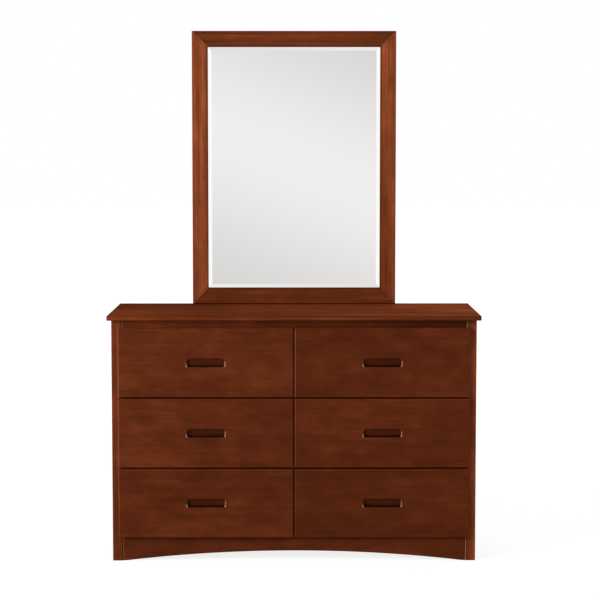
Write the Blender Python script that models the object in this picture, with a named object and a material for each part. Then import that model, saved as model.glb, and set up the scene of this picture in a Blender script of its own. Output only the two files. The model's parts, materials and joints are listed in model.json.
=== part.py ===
"""Six-drawer bedroom dresser with a framed mirror standing behind its top.

Metres, +Z up. The front faces -Y. The origin lies on the floor, under the middle of the whole
object's box. Run it with: blender --background --python part.py
"""

import math

import bmesh
import bpy
from mathutils import Matrix, Vector

# Clearances

SEAT_GAP = 0.0003  # between two pieces that are glued, screwed or let into each other
RUN_GAP = 0.0004  # between a drawer and what it slides on
SIDE_PLAY = 0.003  # from a drawer box to the sides of its opening
GUIDE_PLAY = 0.001  # from a guide to each side of the notch that rides on it
CLOSED_GAP = 0.0005  # from a closed drawer front to the stiles behind it

# How finely edges are rounded

EASE_SEGMENTS = 3
PULL_CORNER_SEGMENTS = 8
PULL_ROUND_SEGMENTS = 4
SCREW_HOLE_SIDES = 20

# Drawer fronts, which set the width and height of the case

ROWS = 3
COLUMNS = ("left", "right")
FRONT_WIDTH = 0.563
FRONT_HEIGHT = 0.223
FRONT_THICKNESS = 0.018
FRONT_EASE = 0.004
ROW_GAP = 0.005
COLUMN_GAP = 0.0045
FRONT_LAP = 0.01075  # how far a front covers the stile beside it
FRONT_FLOOR_HEIGHT = 0.080  # from the floor to the lowest front
TOP_REVEAL = 0.025  # rail that shows between the highest front and the slab

# Case

CASE_DEPTH = 0.378
STILE_WIDTH = 0.033
STILE_THICKNESS = 0.020
STILE_EASE = 0.003  # on the long edges of the face, which make a joint line with the rails
SIDE_THICKNESS = 0.018
TONGUE_THICKNESS = 0.006
TONGUE_DEPTH = 0.008
PARTITION_THICKNESS = 0.018
RAIL_THICKNESS = 0.020
RAIL_DEPTH = 0.045
RAIL_SETBACK = 0.002  # behind the stiles' faces
RAIL_HOUSING = 0.006  # how far a rail's end goes into the side panel
TOP_RAIL_THICKNESS = 0.020
TOP_RAIL_EASE = 0.002  # on the ends of its face
BACK_RAIL_HEIGHT = 0.040
BACK_RAIL_THICKNESS = 0.018
BACK_PANEL_THICKNESS = 0.004
BACK_REBATE = 0.009  # how far the back panel goes into the side panel

# Apron

APRON_THICKNESS = 0.020
APRON_SETBACK = 0.001
APRON_EASE = 0.002  # on the ends and the arch of its face
ARCH_RISE = 0.032
ARCH_FOOT = 0.009  # flat length that stands on the floor at each end
ARCH_SEGMENTS = 40

# Top panel

TOP_THICKNESS = 0.016
TOP_EASE = 0.003
SIDE_OVERHANG = 0.0125
FRONT_OVERHANG = 0.022

# Drawer boxes and the guides they run on

BOX_HEIGHT = 0.165
BOX_REAR_ROOM = 0.0142  # from the rear of the box to the back rails
BOX_SIDE_THICKNESS = 0.012
BOX_BACK_THICKNESS = 0.012
BOX_BACK_DROP = 0.010  # how far the back's upper edge lies under the sides'
FRONT_HOUSING = 0.007  # how far a side goes into the front
BACK_HOUSING = 0.005  # how far the back goes into a side
BOTTOM_THICKNESS = 0.004
BOTTOM_LIFT = 0.012  # from the sides' lower edges to the bottom
BOTTOM_GROOVE = 0.005  # depth of the grooves that hold the bottom
GUIDE_WIDTH = 0.024
GUIDE_RISE = 0.008  # above the rails
GUIDE_DROP = 0.010  # below the rails' tops, between the rails
GUIDE_LAP = 0.030  # length that lies on the front rail

# Finger pull, a pocket routed in the front: its back is a ramp that leans in towards the foot and
# runs on into a groove behind the lower lip, where the fingertips hook in

PULL_WIDTH = 0.121
PULL_HEIGHT = 0.026
PULL_CORNER = 0.009
PULL_ROUND = 0.002  # radius of the edge where the pocket meets the front's face
PULL_DEPTH_TOP = 0.004
PULL_DEPTH_FOOT = 0.0115
LIP_THICKNESS = 0.0045
GROOVE_DROP = 0.006  # how far the finger groove goes down behind the lip
GROOVE_RISE = 0.006  # how far up the ramp it starts
GROOVE_DEPTH = 0.0135  # from the front's face, at its foot
GROOVE_END = 0.004  # from the pocket's end to the groove's end
GROOVE_ROUND = 0.002

# Mirror and its supports

MIRROR_WIDTH = 0.694
MIRROR_HEIGHT = 0.928
MIRROR_LIFT = 0.002  # from the slab to the frame
FRAME_WIDTH = 0.054
FRAME_THICKNESS = 0.022
FRAME_EASE = 0.002
FRAME_LIP = 0.012  # thickness in front of the glass
GLASS_REBATE = 0.008  # how far the glass goes behind the frame's inner edge
GLASS_THICKNESS = 0.005
GLASS_EDGE = 0.003  # thickness left at the rim by the bevel
GLASS_BEVEL = 0.0125  # width of the bevel that shows inside the frame
BACKBOARD_THICKNESS = 0.003
SUPPORT_WIDTH = 0.045
SUPPORT_THICKNESS = 0.018
SUPPORT_ABOVE = 0.560  # above the slab
SUPPORT_BELOW = 0.360  # below the slab's top
SUPPORT_EASE = 0.003
SUPPORT_SCREWS = 3  # into the mirror's frame, besides one into each back rail it crosses
SCREW_END_ROOM = 0.060  # from the first and last of them to the ends of what they hold
SCREW_HOLE = 0.0045  # diameter
SCREW_SINK = 0.009  # diameter of the 90 degree countersink at the face

# Levels and planes that follow from those sizes

CUT_PAST = 0.002  # how far a cutter stands out of the face it cuts
RUN_OUT = 0.0003  # how far inside the pull's pocket the finger groove runs out
MERGE_DISTANCE = 0.00005
FACING = 0.999  # cosine above which two directions count as the same

OPENING_HALF = FRONT_WIDTH + COLUMN_GAP / 2 - FRONT_LAP  # middle to a stile's inner edge
CASE_HALF = OPENING_HALF + STILE_WIDTH
SIDE_INNER = CASE_HALF - SIDE_THICKNESS
PARTITION_HALF = PARTITION_THICKNESS / 2
FRONT_MIDDLE = (FRONT_WIDTH + COLUMN_GAP) / 2
BOX_MIDDLE = (OPENING_HALF + PARTITION_HALF) / 2
BOX_HALF = (OPENING_HALF - PARTITION_HALF) / 2 - SIDE_PLAY

TOP_DEPTH = CASE_DEPTH + FRONT_OVERHANG
SLAB_FRONT = -(TOP_DEPTH + SEAT_GAP + SUPPORT_THICKNESS) / 2
SLAB_REAR = SLAB_FRONT + TOP_DEPTH
CASE_FRONT = SLAB_FRONT + FRONT_OVERHANG
CASE_REAR = SLAB_REAR
STILE_REAR = CASE_FRONT + STILE_THICKNESS
RAIL_FRONT = CASE_FRONT + RAIL_SETBACK
APRON_FRONT = CASE_FRONT + APRON_SETBACK
APRON_REAR = APRON_FRONT + APRON_THICKNESS
PANEL_FRONT = CASE_REAR - BACK_PANEL_THICKNESS
BACK_RAIL_REAR = PANEL_FRONT - SEAT_GAP
BACK_RAIL_FRONT = BACK_RAIL_REAR - BACK_RAIL_THICKNESS

FRONT_BACK_FACE = CASE_FRONT - CLOSED_GAP
FRONT_FACE = FRONT_BACK_FACE - FRONT_THICKNESS
BOX_REAR = BACK_RAIL_FRONT - BOX_REAR_ROOM

ROW_PITCH = FRONT_HEIGHT + ROW_GAP
RAIL_OVER_FRONT = (RAIL_THICKNESS - ROW_GAP) / 2  # how far a front covers the rail behind it
HIGHEST_FRONT = FRONT_FLOOR_HEIGHT + ROWS * ROW_PITCH - ROW_GAP
UNDER_SLAB = HIGHEST_FRONT + TOP_REVEAL
SLAB_TOP = UNDER_SLAB + TOP_THICKNESS
CASE_TOP = UNDER_SLAB - SEAT_GAP

GUIDE_REACH = GUIDE_RISE + RUN_GAP  # from a rail's top to the ceiling of the notch over a guide

# Finishes

FINISHES = {
    # name: colour, roughness, metallic
    "stained_wood": ((0.155, 0.035, 0.010, 1.0), 0.35, 0.0),
    "drawer_box_wood": ((0.420, 0.250, 0.120, 1.0), 0.60, 0.0),
    "hardboard": ((0.130, 0.065, 0.030, 1.0), 0.75, 0.0),
    "silvered_glass": ((0.850, 0.860, 0.860, 1.0), 0.02, 1.0),
}


def clear_scene():
    for obj in list(bpy.data.objects):
        bpy.data.objects.remove(obj, do_unlink=True)


def make_collection(name):
    collection = bpy.data.collections.new(name)
    bpy.context.scene.collection.children.link(collection)
    return collection


def make_finish(name):
    colour, roughness, metallic = FINISHES[name]
    material = bpy.data.materials.new(name)
    material.diffuse_color = colour
    material.use_nodes = True
    shader = material.node_tree.nodes["Principled BSDF"]
    shader.inputs["Base Color"].default_value = colour
    shader.inputs["Roughness"].default_value = roughness
    shader.inputs["Metallic"].default_value = metallic
    return material


clear_scene()
PARTS = make_collection("dresser")
CUTTERS = make_collection("cutters")
MATERIALS = {name: make_finish(name) for name in FINISHES}


# Timber: every board is a block between two corners, and joints are cut from it


def block_mesh(low, high):
    """A bmesh of the block between two corners."""
    low, high = Vector(low), Vector(high)
    size = high - low
    middle = Matrix.Translation((low + high) / 2)
    bm = bmesh.new()
    bmesh.ops.create_cube(bm, size=1.0, matrix=middle @ Matrix.Diagonal((*size, 1.0)))
    return bm


def ease(bm, edges, radius):
    """Rounds the given edges over."""
    bmesh.ops.bevel(
        bm,
        geom=edges,
        offset=radius,
        offset_type="OFFSET",
        segments=EASE_SEGMENTS,
        profile=0.5,
        affect="EDGES",
        clamp_overlap=True,
        material=-1,
    )


def runs_along(edge, direction):
    ends = (edge.verts[1].co - edge.verts[0].co).normalized()
    return abs(ends.dot(Vector(direction))) > FACING


def edges_of_side(bm, outward, along=None):
    """The edges round the side that faces the given way, or those of them that run along."""
    outward = Vector(outward)
    edges = {e for f in bm.faces if f.normal.dot(outward) > FACING for e in f.edges}
    return [e for e in edges if along is None or runs_along(e, along)]


def mesh_object(name, bm, collection):
    mesh = bpy.data.meshes.new(name)
    bm.to_mesh(mesh)
    bm.free()
    obj = bpy.data.objects.new(name, mesh)
    collection.objects.link(obj)
    return obj


def make_piece(name, bm, finish):
    obj = mesh_object(name, bm, PARTS)
    obj.data.materials.append(MATERIALS[finish])
    obj.data.set_sharp_from_angle(angle=math.radians(30))
    return obj


def cut_with(piece, cutter):
    """Takes a cutter's shape out of a piece."""
    modifier = piece.modifiers.new(cutter.name, "BOOLEAN")
    modifier.operation = "DIFFERENCE"
    modifier.solver = "EXACT"
    modifier.object = cutter


def make_cutter(name, bm):
    obj = mesh_object(name, bm, CUTTERS)
    obj.hide_render = True
    obj.display_type = "WIRE"
    return obj


def cut_box(piece, what, low, high):
    """Cuts the block between two corners out of a piece."""
    cut_with(piece, make_cutter(f"{piece.name}_{what}", block_mesh(low, high)))


def grown(low, high, gap=SEAT_GAP):
    """The corners of a block with a gap left all round it."""
    margin = Vector((gap, gap, gap))
    return Vector(low) - margin, Vector(high) + margin


def board(name, low, high, finish="stained_wood", eased=(), along=None, radius=0.0):
    """A board between two corners, with edges of its eased sides rounded over."""
    bm = block_mesh(low, high)
    edges = {e for outward in eased for e in edges_of_side(bm, outward, along)}
    if edges:
        ease(bm, list(edges), radius)
    return make_piece(name, bm, finish)


def hand_of(side):
    """-1 for what is on the left, 1 for what is on the right."""
    return -1 if side == "left" else 1


def handed(side, inner, outer, y, z):
    """Corners of a block that lies from inner to outer on one side of the middle."""
    hand = hand_of(side)
    x = sorted((hand * inner, hand * outer))
    return (x[0], y[0], z[0]), (x[1], y[1], z[1])


def rail_top(row):
    """Height of the upper face of the rail under a row, counted from 0 at the bottom."""
    return FRONT_FLOOR_HEIGHT + row * ROW_PITCH - ROW_GAP / 2 + RAIL_THICKNESS / 2


# Case


def front_rail_box(row):
    """Corners of the rail under a row. The lowest one lies behind the apron."""
    front = APRON_REAR + SEAT_GAP if row == 0 else RAIL_FRONT
    half = SIDE_INNER + RAIL_HOUSING
    return (
        (-half, front, rail_top(row) - RAIL_THICKNESS),
        (half, front + RAIL_DEPTH, rail_top(row)),
    )


def back_rail_box(top):
    half = SIDE_INNER + RAIL_HOUSING
    return (
        (-half, BACK_RAIL_FRONT, top - BACK_RAIL_HEIGHT),
        (half, BACK_RAIL_REAR, top),
    )


FRONT_RAILS = {
    "front_rail_bottom": front_rail_box(0),
    "front_rail_lower": front_rail_box(1),
    "front_rail_upper": front_rail_box(2),
}
BACK_RAILS = {
    "back_rail_bottom": back_rail_box(rail_top(0)),
    "back_rail_lower": back_rail_box(rail_top(1)),
    "back_rail_upper": back_rail_box(rail_top(2)),
    "back_rail_top": back_rail_box(CASE_TOP),
}


def stile_box(side):
    y = (CASE_FRONT, STILE_REAR)
    return handed(side, OPENING_HALF, CASE_HALF, y, (0.0, CASE_TOP))


def make_top():
    half = CASE_HALF + SIDE_OVERHANG
    board(
        "top_panel",
        (-half, SLAB_FRONT, UNDER_SLAB),
        (half, SLAB_REAR, SLAB_TOP),
        eased=((0, -1, 0), (-1, 0, 0), (1, 0, 0)),
        radius=TOP_EASE,
    )


def make_side(side):
    """A stile with a groove down its back, and the panel whose tongue goes into it."""
    hand = hand_of(side)
    stile_low, stile_high = stile_box(side)
    stile = board(
        f"front_stile_{side}",
        stile_low,
        stile_high,
        eased=((0, -1, 0),),
        along=(0, 0, 1),
        radius=STILE_EASE,
    )

    panel_front = STILE_REAR + SEAT_GAP
    tongue_front = panel_front - TONGUE_DEPTH
    tongue_middle = CASE_HALF - SIDE_THICKNESS / 2
    tongue_inner = tongue_middle - TONGUE_THICKNESS / 2
    tongue_outer = tongue_middle + TONGUE_THICKNESS / 2
    panel = board(
        f"side_panel_{side}",
        *handed(side, SIDE_INNER, CASE_HALF, (tongue_front, CASE_REAR), (0.0, CASE_TOP)),
    )
    past = (-CUT_PAST, CASE_TOP + CUT_PAST)
    shoulder = (tongue_front - CUT_PAST, panel_front)
    cut_box(
        panel,
        "inner_shoulder",
        *handed(side, SIDE_INNER - CUT_PAST, tongue_inner, shoulder, past),
    )
    cut_box(
        panel,
        "outer_shoulder",
        *handed(side, tongue_outer, CASE_HALF + CUT_PAST, shoulder, past),
    )
    cut_box(
        stile,
        "groove",
        *handed(
            side,
            tongue_inner - SEAT_GAP,
            tongue_outer + SEAT_GAP,
            (tongue_front - SEAT_GAP, STILE_REAR + CUT_PAST),
            past,
        ),
    )

    panel_foot = rail_top(0) - BACK_RAIL_HEIGHT - SEAT_GAP
    cut_box(
        panel,
        "back_rebate",
        *handed(
            side,
            SIDE_INNER - CUT_PAST,
            SIDE_INNER + BACK_REBATE,
            (PANEL_FRONT - SEAT_GAP, CASE_REAR + CUT_PAST),
            (panel_foot, CASE_TOP + CUT_PAST),
        ),
    )
    for rail, corners in {**FRONT_RAILS, **BACK_RAILS}.items():
        low, high = grown(*corners)
        x = (SIDE_INNER - CUT_PAST) * hand, high.x * hand
        rear = min(high.y, PANEL_FRONT + CUT_PAST / 2) if rail in BACK_RAILS else high.y
        cut_box(
            panel,
            f"{rail}_housing",
            (min(x), low.y, low.z),
            (max(x), rear, high.z),
        )


def make_rails():
    """The rails, the long ones notched round the stiles and halved over the partition."""
    half = OPENING_HALF - SEAT_GAP
    board(
        "front_rail_top",
        (-half, RAIL_FRONT, HIGHEST_FRONT - RAIL_OVER_FRONT),
        (half, RAIL_FRONT + TOP_RAIL_THICKNESS, CASE_TOP),
        eased=((0, -1, 0),),
        along=(0, 0, 1),
        radius=TOP_RAIL_EASE,
    )
    for name, (low, high) in FRONT_RAILS.items():
        rail = board(name, low, high)
        if low[1] > STILE_REAR:
            continue
        for side in COLUMNS:
            cut_box(rail, f"{side}_stile", *grown(*stile_box(side)))
        half_depth = (low[1] + high[1]) / 2
        across = PARTITION_HALF + SEAT_GAP
        cut_box(
            rail,
            "halving",
            (-across, half_depth, low[2] - CUT_PAST),
            (across, high[1] + CUT_PAST, high[2] + CUT_PAST),
        )
    for name, (low, high) in BACK_RAILS.items():
        board(name, low, high)


def make_partition():
    """The upright between the columns, notched over every rail that crosses it."""
    bottom_low, bottom_high = FRONT_RAILS["front_rail_bottom"]
    partition = board(
        "centre_partition",
        (-PARTITION_HALF, RAIL_FRONT, bottom_low[2]),
        (PARTITION_HALF, BACK_RAIL_REAR, CASE_TOP),
    )
    across = PARTITION_HALF + CUT_PAST
    cut_box(
        partition,
        "front_rail_bottom",
        (-across, RAIL_FRONT - CUT_PAST, bottom_low[2] - CUT_PAST),
        (across, bottom_high[1] + SEAT_GAP, bottom_high[2] + SEAT_GAP),
    )
    cut_box(
        partition,
        "front_rail_top",
        (-across, RAIL_FRONT - CUT_PAST, HIGHEST_FRONT - RAIL_OVER_FRONT - SEAT_GAP),
        (across, RAIL_FRONT + TOP_RAIL_THICKNESS + SEAT_GAP, CASE_TOP + CUT_PAST),
    )
    for name in ("front_rail_lower", "front_rail_upper"):
        low, high = FRONT_RAILS[name]
        half_depth = (low[1] + high[1]) / 2
        cut_box(
            partition,
            name,
            (-across, low[1] - CUT_PAST, low[2] - SEAT_GAP),
            (across, half_depth + SEAT_GAP, high[2] + SEAT_GAP),
        )
    for name, (low, high) in BACK_RAILS.items():
        top = high[2] + (CUT_PAST if name == "back_rail_top" else SEAT_GAP)
        foot = low[2] - (CUT_PAST if name == "back_rail_bottom" else SEAT_GAP)
        cut_box(
            partition,
            name,
            (-across, low[1] - SEAT_GAP, foot),
            (across, high[1] + CUT_PAST, top),
        )


def inner_edges(bm):
    """The edges that a curve's fill draws across a flat face."""
    return [e for e in bm.edges if len(e.link_faces) == 2 and e.calc_face_angle() < 1 - FACING]


def make_apron():
    """A board cut along its lower edge to one shallow arc, with a flat foot at each end."""
    half = OPENING_HALF - SEAT_GAP
    span = half - ARCH_FOOT
    radius = (span**2 + ARCH_RISE**2) / (2 * ARCH_RISE)
    top = rail_top(0)
    steps = [2 * i / ARCH_SEGMENTS - 1 for i in range(ARCH_SEGMENTS + 1)]
    arch = [(span * t, math.sqrt(radius**2 - (span * t) ** 2) - radius + ARCH_RISE) for t in steps]
    outline = [(-half, top), (-half, 0.0), *arch, (half, 0.0), (half, top)]

    curve = bpy.data.curves.new("base_apron_outline", "CURVE")
    curve.dimensions = "2D"
    curve.fill_mode = "BOTH"
    curve.extrude = APRON_THICKNESS / 2
    spline = curve.splines.new("POLY")
    spline.points.add(len(outline) - 1)
    for point, (x, z) in zip(spline.points, outline):
        point.co = (x, max(z, 0.0), 0.0, 1.0)
    spline.use_cyclic_u = True
    drawn = bpy.data.objects.new("base_apron_outline", curve)
    drawn.matrix_world = Matrix.Translation((0, (APRON_FRONT + APRON_REAR) / 2, 0)) @ (
        Matrix.Rotation(math.radians(90), 4, "X")
    )
    PARTS.objects.link(drawn)
    bpy.context.view_layer.update()
    graph = bpy.context.evaluated_depsgraph_get()

    bm = bmesh.new()
    bm.from_mesh(drawn.evaluated_get(graph).to_mesh())
    bmesh.ops.transform(bm, matrix=drawn.matrix_world, verts=bm.verts[:])
    bmesh.ops.remove_doubles(bm, verts=bm.verts[:], dist=MERGE_DISTANCE)
    bmesh.ops.recalc_face_normals(bm, faces=bm.faces[:])
    bpy.data.objects.remove(drawn, do_unlink=True)
    bmesh.ops.dissolve_limit(
        bm, angle_limit=math.acos(FACING), verts=bm.verts[:], edges=inner_edges(bm)
    )
    face_edges = edges_of_side(bm, (0, -1, 0))
    lower = [e for e in face_edges if min(v.co.z for v in e.verts) < top - MERGE_DISTANCE]
    ease(bm, lower, APRON_EASE)
    make_piece("base_apron", bm, "stained_wood")


def make_back():
    half = SIDE_INNER + BACK_REBATE - SEAT_GAP
    board(
        "back_panel",
        (-half, PANEL_FRONT, rail_top(0) - BACK_RAIL_HEIGHT),
        (half, CASE_REAR, CASE_TOP),
        finish="hardboard",
    )


# Drawers


def ramp_depth(above_foot):
    """Depth of the pull's back at a height above the pocket's foot."""
    slope = (PULL_DEPTH_FOOT - PULL_DEPTH_TOP) / PULL_HEIGHT
    return PULL_DEPTH_FOOT - slope * above_foot


def rounded_pocket(name, middle):
    """Cutter for the pull: a rounded rectangle that flares at the face, with a ramp for a back."""
    flare = PULL_ROUND
    mouth = (PULL_WIDTH + 2 * flare, PULL_HEIGHT + 2 * flare)
    bm = bmesh.new()
    flat = Matrix.Translation((middle.x, FRONT_FACE, middle.z)) @ Matrix.Rotation(
        math.radians(-90), 4, "X"
    )
    bmesh.ops.create_grid(
        bm,
        x_segments=1,
        y_segments=1,
        size=0.5,
        matrix=flat @ Matrix.Diagonal((mouth[0], mouth[1], 1.0, 1.0)),
    )
    bmesh.ops.bevel(
        bm,
        geom=bm.verts[:],
        offset=PULL_CORNER + flare,
        offset_type="OFFSET",
        segments=PULL_CORNER_SEGMENTS,
        profile=0.5,
        affect="VERTICES",
        material=-1,
    )
    bm.faces.ensure_lookup_table()
    face = bm.faces[0]
    steps = PULL_ROUND_SEGMENTS
    angles = [math.radians(90) * i / steps for i in range(steps + 1)]
    for start, end in zip(angles, angles[1:]):
        bmesh.ops.inset_region(
            bm,
            faces=[face],
            thickness=flare * (math.sin(end) - math.sin(start)),
            depth=flare * (math.cos(start) - math.cos(end)),
            use_even_offset=True,
            use_boundary=True,
        )
    walls = bmesh.ops.extrude_face_region(bm, geom=[face])
    floor = [v for v in walls["geom"] if isinstance(v, bmesh.types.BMVert)]
    for vert in floor:
        vert.co.y = FRONT_FACE + ramp_depth(vert.co.z - middle.z + PULL_HEIGHT / 2)
    bmesh.ops.delete(bm, geom=[face], context="FACES_ONLY")
    rim = [e for e in bm.edges if e.is_boundary]
    out = bmesh.ops.extrude_edge_only(bm, edges=rim)
    outer = [v for v in out["geom"] if isinstance(v, bmesh.types.BMVert)]
    bmesh.ops.translate(bm, verts=outer, vec=(0, -CUT_PAST, 0))
    bmesh.ops.contextual_create(bm, geom=[e for e in bm.edges if e.is_boundary])
    bmesh.ops.recalc_face_normals(bm, faces=bm.faces[:])
    return make_cutter(name, bm)


def finger_groove(name, middle):
    """Cutter for the groove that the fingertips hook into, behind the pocket's lower lip."""
    half = PULL_WIDTH / 2 - GROOVE_END
    foot = middle.z - PULL_HEIGHT / 2
    low = (middle.x - half, FRONT_FACE + LIP_THICKNESS, foot - GROOVE_DROP)
    high = (middle.x + half, FRONT_FACE + GROOVE_DEPTH, foot + GROOVE_RISE)
    bm = block_mesh(low, high)
    upper_rear = [v for v in bm.verts if v.co.z > foot and v.co.y > FRONT_FACE + LIP_THICKNESS]
    for vert in upper_rear:
        vert.co.y = FRONT_FACE + ramp_depth(GROOVE_RISE) - RUN_OUT
    ease(bm, edges_of_side(bm, (0, 0, -1)), GROOVE_ROUND)
    return make_cutter(name, bm)


def drawer_shapes(side):
    """The five pieces of a drawer in one column, as it would lie in the bottom row."""
    hand = hand_of(side)
    base = rail_top(0) + RUN_GAP  # lower edges of the sides
    box_inner = hand * BOX_MIDDLE - BOX_HALF + BOX_SIDE_THICKNESS
    box_outer = hand * BOX_MIDDLE + BOX_HALF - BOX_SIDE_THICKNESS
    side_front = FRONT_BACK_FACE - FRONT_HOUSING
    side_y = (side_front, BOX_REAR)
    back_y = (BOX_REAR - 2 * BOX_BACK_THICKNESS, BOX_REAR - BOX_BACK_THICKNESS)
    bottom_z = (base + BOTTOM_LIFT, base + BOTTOM_LIFT + BOTTOM_THICKNESS)
    sides = {
        "side_left": (box_inner - BOX_SIDE_THICKNESS, box_inner),
        "side_right": (box_outer, box_outer + BOX_SIDE_THICKNESS),
    }
    groove = BOTTOM_GROOVE - SEAT_GAP
    bottom_low = (box_inner - groove, FRONT_BACK_FACE - groove, bottom_z[0])
    bottom_high = (box_outer + groove, back_y[0] + groove, bottom_z[1])
    groove_low, groove_high = grown(bottom_low, bottom_high)

    shapes = {}
    centre = hand * FRONT_MIDDLE
    front = board(
        f"{side}_front",
        (centre - FRONT_WIDTH / 2, FRONT_FACE, FRONT_FLOOR_HEIGHT),
        (centre + FRONT_WIDTH / 2, FRONT_BACK_FACE, FRONT_FLOOR_HEIGHT + FRONT_HEIGHT),
        eased=((0, -1, 0),),
        radius=FRONT_EASE,
    )
    pull = Vector((centre, FRONT_FACE, FRONT_FLOOR_HEIGHT + FRONT_HEIGHT / 2))
    cut_with(front, rounded_pocket(f"{side}_pull_pocket", pull))
    cut_with(front, finger_groove(f"{side}_pull_groove", pull))
    cut_box(
        front,
        "bottom_groove",
        (box_inner - groove, groove_low.y, groove_low.z),
        (box_outer + groove, FRONT_BACK_FACE + CUT_PAST, groove_high.z),
    )
    shapes["front"] = front

    for name, (x_low, x_high) in sides.items():
        low = (x_low, side_front, base)
        high = (x_high, BOX_REAR, base + BOX_HEIGHT)
        piece = board(f"{side}_{name}", low, high, finish="drawer_box_wood")
        housing_low, housing_high = grown(low, high)
        cut_box(
            front,
            f"{name}_housing",
            housing_low,
            (housing_high.x, FRONT_BACK_FACE + CUT_PAST, housing_high.z),
        )
        inward = 1 if name == "side_left" else -1
        inner = x_high if inward > 0 else x_low
        into = sorted((inner - inward * BOTTOM_GROOVE, inner + inward * CUT_PAST))
        cut_box(
            piece,
            "bottom_groove",
            (into[0], side_front - CUT_PAST, groove_low.z),
            (into[1], back_y[1] + SEAT_GAP, groove_high.z),
        )
        into = sorted((inner - inward * BACK_HOUSING, inner + inward * CUT_PAST))
        cut_box(
            piece,
            "back_housing",
            (into[0], back_y[0] - SEAT_GAP, base - CUT_PAST),
            (into[1], back_y[1] + SEAT_GAP, base + BOX_HEIGHT + CUT_PAST),
        )
        shapes[name] = piece

    reach = BACK_HOUSING - SEAT_GAP
    back = board(
        f"{side}_back",
        (box_inner - reach, back_y[0], base),
        (box_outer + reach, back_y[1], base + BOX_HEIGHT - BOX_BACK_DROP),
        finish="drawer_box_wood",
    )
    cut_box(
        back,
        "bottom_groove",
        (box_inner - BACK_HOUSING - CUT_PAST, back_y[0] - CUT_PAST, groove_low.z),
        (box_outer + BACK_HOUSING + CUT_PAST, groove_high.y, groove_high.z),
    )
    notch = GUIDE_WIDTH / 2 + GUIDE_PLAY
    cut_box(
        back,
        "guide_notch",
        (hand * BOX_MIDDLE - notch, back_y[0] - CUT_PAST, base - CUT_PAST),
        (hand * BOX_MIDDLE + notch, back_y[1] + CUT_PAST, rail_top(0) + GUIDE_REACH),
    )
    shapes["back"] = back

    shapes["bottom"] = board(
        f"{side}_bottom", bottom_low, bottom_high, finish="drawer_box_wood"
    )
    return shapes


def finished_mesh(obj):
    """The mesh of a piece with its cuts made."""
    graph = bpy.context.evaluated_depsgraph_get()
    return bpy.data.meshes.new_from_object(obj.evaluated_get(graph))


def make_drawers():
    """Three drawers in each column share their meshes, each drawer on its own empty."""
    for side in COLUMNS:
        shapes = drawer_shapes(side)
        bpy.context.view_layer.update()
        meshes = {name: finished_mesh(obj) for name, obj in shapes.items()}
        for obj in shapes.values():
            bpy.data.objects.remove(obj, do_unlink=True)
        origin = Vector((hand_of(side) * BOX_MIDDLE, FRONT_BACK_FACE, rail_top(0)))
        for row in range(ROWS):
            drawer = f"drawer_{side}_{row + 1}"
            slide = bpy.data.objects.new(f"{drawer}_slide", None)
            slide.location = origin + Vector((0, 0, row * ROW_PITCH))
            PARTS.objects.link(slide)
            for name, mesh in meshes.items():
                piece = bpy.data.objects.new(f"{drawer}_{name}", mesh)
                piece.parent = slide
                piece.location = -origin
                PARTS.objects.link(piece)


def make_guides():
    """A strip under each drawer, lapped onto the front and back rails."""
    names = ("front_rail_bottom", "front_rail_lower", "front_rail_upper")
    for side in COLUMNS:
        middle = hand_of(side) * BOX_MIDDLE
        for row, name in enumerate(names):
            rail_low, rail_high = FRONT_RAILS[name]
            guide = board(
                f"drawer_guide_{side}_{row + 1}",
                (middle - GUIDE_WIDTH / 2, rail_high[1] - GUIDE_LAP, rail_top(row) - GUIDE_DROP),
                (middle + GUIDE_WIDTH / 2, BACK_RAIL_REAR, rail_top(row) + GUIDE_RISE),
            )
            back = BACK_RAILS[name.replace("front", "back")]
            cut_box(guide, "front_lap", *grown(rail_low, rail_high))
            low, high = grown(*back)
            cut_box(guide, "back_lap", low, (high.x, high.y + CUT_PAST, high.z))


# Mirror

MIRROR_REAR = SLAB_REAR
MIRROR_FRONT = MIRROR_REAR - FRAME_THICKNESS
MIRROR_FOOT = SLAB_TOP + MIRROR_LIFT
MIRROR_HEAD = MIRROR_FOOT + MIRROR_HEIGHT
MIRROR_MIDDLE = (MIRROR_FOOT + MIRROR_HEAD) / 2
GLASS_HALF_WIDTH = MIRROR_WIDTH / 2 - FRAME_WIDTH + GLASS_REBATE
GLASS_HALF_HEIGHT = MIRROR_HEIGHT / 2 - FRAME_WIDTH + GLASS_REBATE
REBATE_FACE = MIRROR_FRONT + FRAME_LIP


def mitred_member(name, low, high, inward):
    """One side of the frame, its long edges rounded over, cut at 45 degrees at both ends."""
    bm = block_mesh(low, high)
    ease(bm, edges_of_side(bm, (0, -1, 0)), FRAME_EASE)
    inward = Vector(inward)
    along = Vector((inward.z, 0, inward.x)).normalized()
    middle = Vector((0, 0, MIRROR_MIDDLE))
    for way in (-1, 1):
        outward = along * way
        half_length = MIRROR_WIDTH / 2 if abs(along.x) > 0.5 else MIRROR_HEIGHT / 2
        half_across = MIRROR_HEIGHT / 2 if abs(along.x) > 0.5 else MIRROR_WIDTH / 2
        corner = middle + outward * (half_length - SEAT_GAP) - inward * half_across
        normal = (outward + inward).normalized()
        cut = bmesh.ops.bisect_plane(
            bm,
            geom=bm.verts[:] + bm.edges[:] + bm.faces[:],
            plane_co=corner,
            plane_no=normal,
            clear_outer=True,
        )
        edges = [e for e in cut["geom_cut"] if isinstance(e, bmesh.types.BMEdge)]
        bmesh.ops.edgenet_fill(bm, edges=edges)
    bmesh.ops.recalc_face_normals(bm, faces=bm.faces[:])
    return make_piece(name, bm, "stained_wood")


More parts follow.
